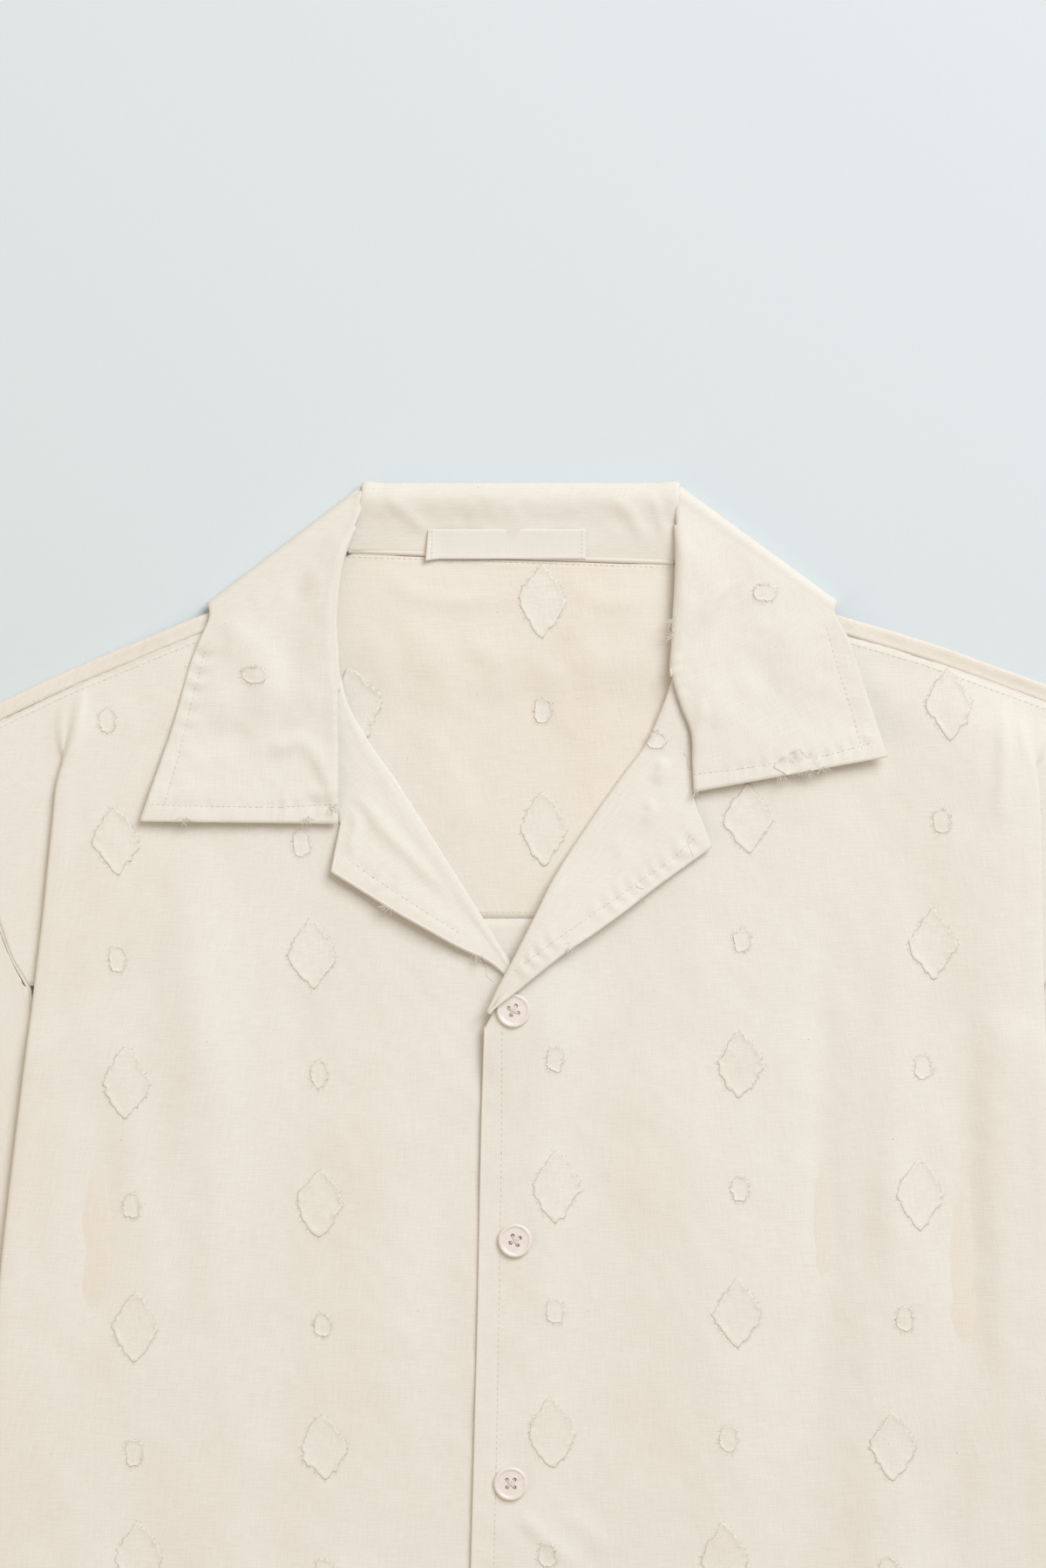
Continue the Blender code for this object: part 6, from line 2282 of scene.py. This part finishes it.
def motif_places() -> Dict[str, List[Motif]]:
    """The motifs of every cloth piece: columns about 90 mm apart, diamonds and ovals by turns."""
    diamond, oval = MotifKind.DIAMOND, MotifKind.OVAL
    columns = {
        "front_right": (
            ((133, 965, diamond), (135, 1101, oval), (145, 1243, diamond), (151, 1383, oval),
             (155, 1523, diamond), (154, 1667, oval), (123, 827, oval)),
            ((346, 968, oval), (358, 1095, diamond), (366, 1233, oval), (367, 1380, diamond),
             (370, 1521, oval), (371, 1660, diamond)),
        ),
        "front_left": (
            ((637, 1216, oval), (639, 1362, diamond), (637, 1505, oval), (632, 1645, diamond),
             (628, 1785, oval)),
            ((858, 940, diamond), (852, 1079, oval), (850, 1222, diamond), (849, 1365, oval),
             (846, 1508, diamond), (836, 1651, oval)),
            ((1089, 808, diamond), (1081, 942, oval), (1070, 1083, diamond), (1060, 1224, oval),
             (1055, 1370, diamond), (1038, 1513, oval), (1025, 1660, diamond)),
        ),
    }
    lower = {
        "front_right": ((-181.0, -126.0, diamond), (-92.0, -132.5, oval)),
        "front_left": ((15.5, -184.0, diamond), (101.5, -126.0, diamond), (180.5, -131.0, oval)),
    }
    places: Dict[str, List[Motif]] = {}
    seed = 1
    for node, groups in columns.items():
        made = []
        for group in groups:
            for x, y, kind in group:
                made.append(charted(x, y, kind, 0.05 * math.sin(seed), seed))
                seed += 1
        for x, y, kind in lower[node]:
            while y > HEM_Y + 24.0:
                made.append(Motif(x, y, kind, 0.05 * math.sin(seed), seed))
                kind = oval if kind is diamond else diamond
                y -= MOTIF_PITCH
                seed += 1
        places[node] = made
    places["yoke"] = [
        charted(622, 690, diamond, 0.0, 71), charted(623, 815, oval, 0.0, 72),
        charted(623, 950, diamond, 0.0, 73), charted(410, 806, diamond, 0.3, 74),
    ]
    places["collar"] = [
        charted(292, 775, oval, 1.4, 81), charted(877, 680, oval, 1.5, 82),
        charted(917, 881, diamond, 1.5, 83, 0.72),
    ]
    places["facing_left"] = [charted(750, 848, oval, 1.2, 85)]
    for node, side in (("sleeve_right", RIGHT), ("sleeve_left", LEFT)):
        top, under = np.array(side.sleeve_top), np.array(side.sleeve_under)
        axis = (top[-1] + under[-1]) / 2.0 - (top[0] + under[0]) / 2.0
        turn = side.sign * (math.atan2(axis[1], axis[0]) + math.pi / 2.0)
        made = []
        for column, shift in ((0.3, 0.0), (0.74, 0.5)):
            kind = diamond if shift == 0.0 else oval
            for number in range(4):
                part = 0.14 + 0.26 * number + 0.04 * shift
                spot = mix(along(side.sleeve_top, part), along(side.sleeve_under, part), column)
                if spot[0] > (262.0 if side is RIGHT else 272.0):
                    made.append(Motif(side.sign * spot[0], spot[1], kind, turn, seed))
                kind = oval if kind is diamond else diamond
                seed += 1
        places[node] = made
    places["sleeve_right"].append(charted(32, 1030, oval, 0.2, 91))
    return places


def rounded(line: Sequence[Spot]) -> List[Spot]:
    """Round the corners of a bent line."""
    points = np.array(line, dtype=float)
    for _ in range(2):
        cut = np.stack((0.75 * points[:-1] + 0.25 * points[1:], 0.25 * points[:-1] + 0.75 * points[1:]), axis=1)
        points = np.concatenate((points[:1], cut.reshape(-1, 2), points[-1:]))
    return points.tolist()


def trimmings(shop: Workshop) -> None:
    """Add the ravelled edges, the loose threads and the gorge cord."""
    for name, node, places in (
        ("ravel_leaf_right", "collar", ((212, 938, -80), (350, 938, -95), (382, 925, -60))),
        ("ravel_leaf_left", "collar", (
            (896, 890, -100), (925, 885, -85), (944, 880, -80), (774, 712, 170), (772, 730, 190),
            (799, 905, -120),
        )),
        ("ravel_lapel_right", "facing_right", ((446, 1040, -140), (466, 1055, -120), (549, 1095, -100))),
        ("ravel_lapel_left", "facing_left", ((740, 1022, -130), (655, 1085, -110))),
    ):
        shop.tufts(name, node, [(*seen((x, y))[0], turn) for x, y, turn in places])
    for name, node, lines, radius in (
        ("gorge_cord", "collar", (((769, 768), (771, 790), (774, 812), (779, 834)),), 0.5),
        ("loose_threads_lapel", "facing_left", (
            ((785, 864), (789, 871), (788, 880), (796, 886), (806, 888)),
            ((791, 958), (788, 966), (793, 977), (797, 986)),
        ), 0.2),
        ("loose_thread_point", "front_right", (((554, 1106), (558, 1112), (557, 1120), (566, 1126)),), 0.2),
    ):
        draper = Draper(shop.hosts[node])
        laid = [stretch for line in lines for stretch in draper.lay(rounded(seen(*line)), 0.7, 0.6 * radius)]
        shop.strands(name, node, laid, radius, shop.finishes.fray if radius < 0.4 else shop.finishes.facing)


def main() -> None:
    """Build every piece of the shirt and the studio."""
    shop = Workshop()
    Studio().build(shop)
    back = Back(Relief(swell=0.3, crinkle=0.08, seed=51))
    yoke_puckers = (
        SeamPucker(NECK_LINE, 9.0, 0.60, 6.0, 0.2, 31),
        SeamPucker(STRIP_RIGHT, 6.5, 1.1, 5.0, 0.5, 41),
        SeamPucker(STRIP_LEFT, 7.5, 0.6, 5.0, 0.3, 43),
    )
    yoke = Yoke(Relief(YOKE_CREASES, yoke_puckers, swell=1.3, crinkle=0.35, seed=52))
    sleeve_relief = Relief(swell=0.8, swell_width=38.0, swell_length=60.0, crinkle=0.18, seed=61)
    sleeves = Sleeve(RIGHT, sleeve_relief), Sleeve(LEFT, sleeve_relief, cut_area=0.040)
    body, facings, neck = fronts(), lapels(), (collar(), NeckLabel())
    for piece in (back, yoke, *body, *sleeves, *facings, *neck):
        piece.build(shop)
    Buttons().build(shop)
    for node, motifs in motif_places().items():
        MotifSet(node, motifs).build(shop)
    trimmings(shop)
    for name, (node, line, shift) in SEAM_LINES.items():
        radius, lift = {"armhole": (1.3, -1.4), "neck": (1.5, 0.0)}.get(name.split("_")[0], (0.8, -0.9))
        shop.fill(name, node, line, shift, radius, lift)
    shop.sew("stitches_collar", "collar", (LEAF_HEM_RIGHT, LEAF_SIDE_RIGHT, LEAF_HEM_LEFT, LEAF_SIDE_LEFT), 2.6)
    shop.sew("stitches_lapel_right", "facing_right", (LAPEL_SEAM_RIGHT,), 2.8)
    shop.sew("stitches_lapel_left", "facing_left", (LAPEL_SEAM_LEFT,), 2.8)
    for side, node in ((RIGHT, "sleeve_right"), (LEFT, "sleeve_left")):
        ends = along(side.sleeve_top, 0.9), along(side.sleeve_under, 0.9)
        cuff = [(side.sign * spot[0], spot[1]) for spot in (mix(*ends, part) for part in (0.03, 0.5, 0.97))]
        shop.sew("stitches_" + node, node, (cuff,), 2.9)
    shop.sew("stitches_placket", "front_left", (PLACKET_SEAM, HEM_LINE_LEFT, SHOULDER_LINE_LEFT), 2.9)
    shop.sew("stitches_front_right", "front_right", (HEM_LINE_RIGHT, SHOULDER_LINE_RIGHT), 2.9)
    shop.sew("stitches_yoke", "yoke", (YOKE_LINE, NECK_LINE), 2.7)
    for piece in (back, yoke, *sleeves, *body, *facings, *neck):
        piece.declare(shop)
    LOG.info("boxes written")


if __name__ == "__main__":
    main()
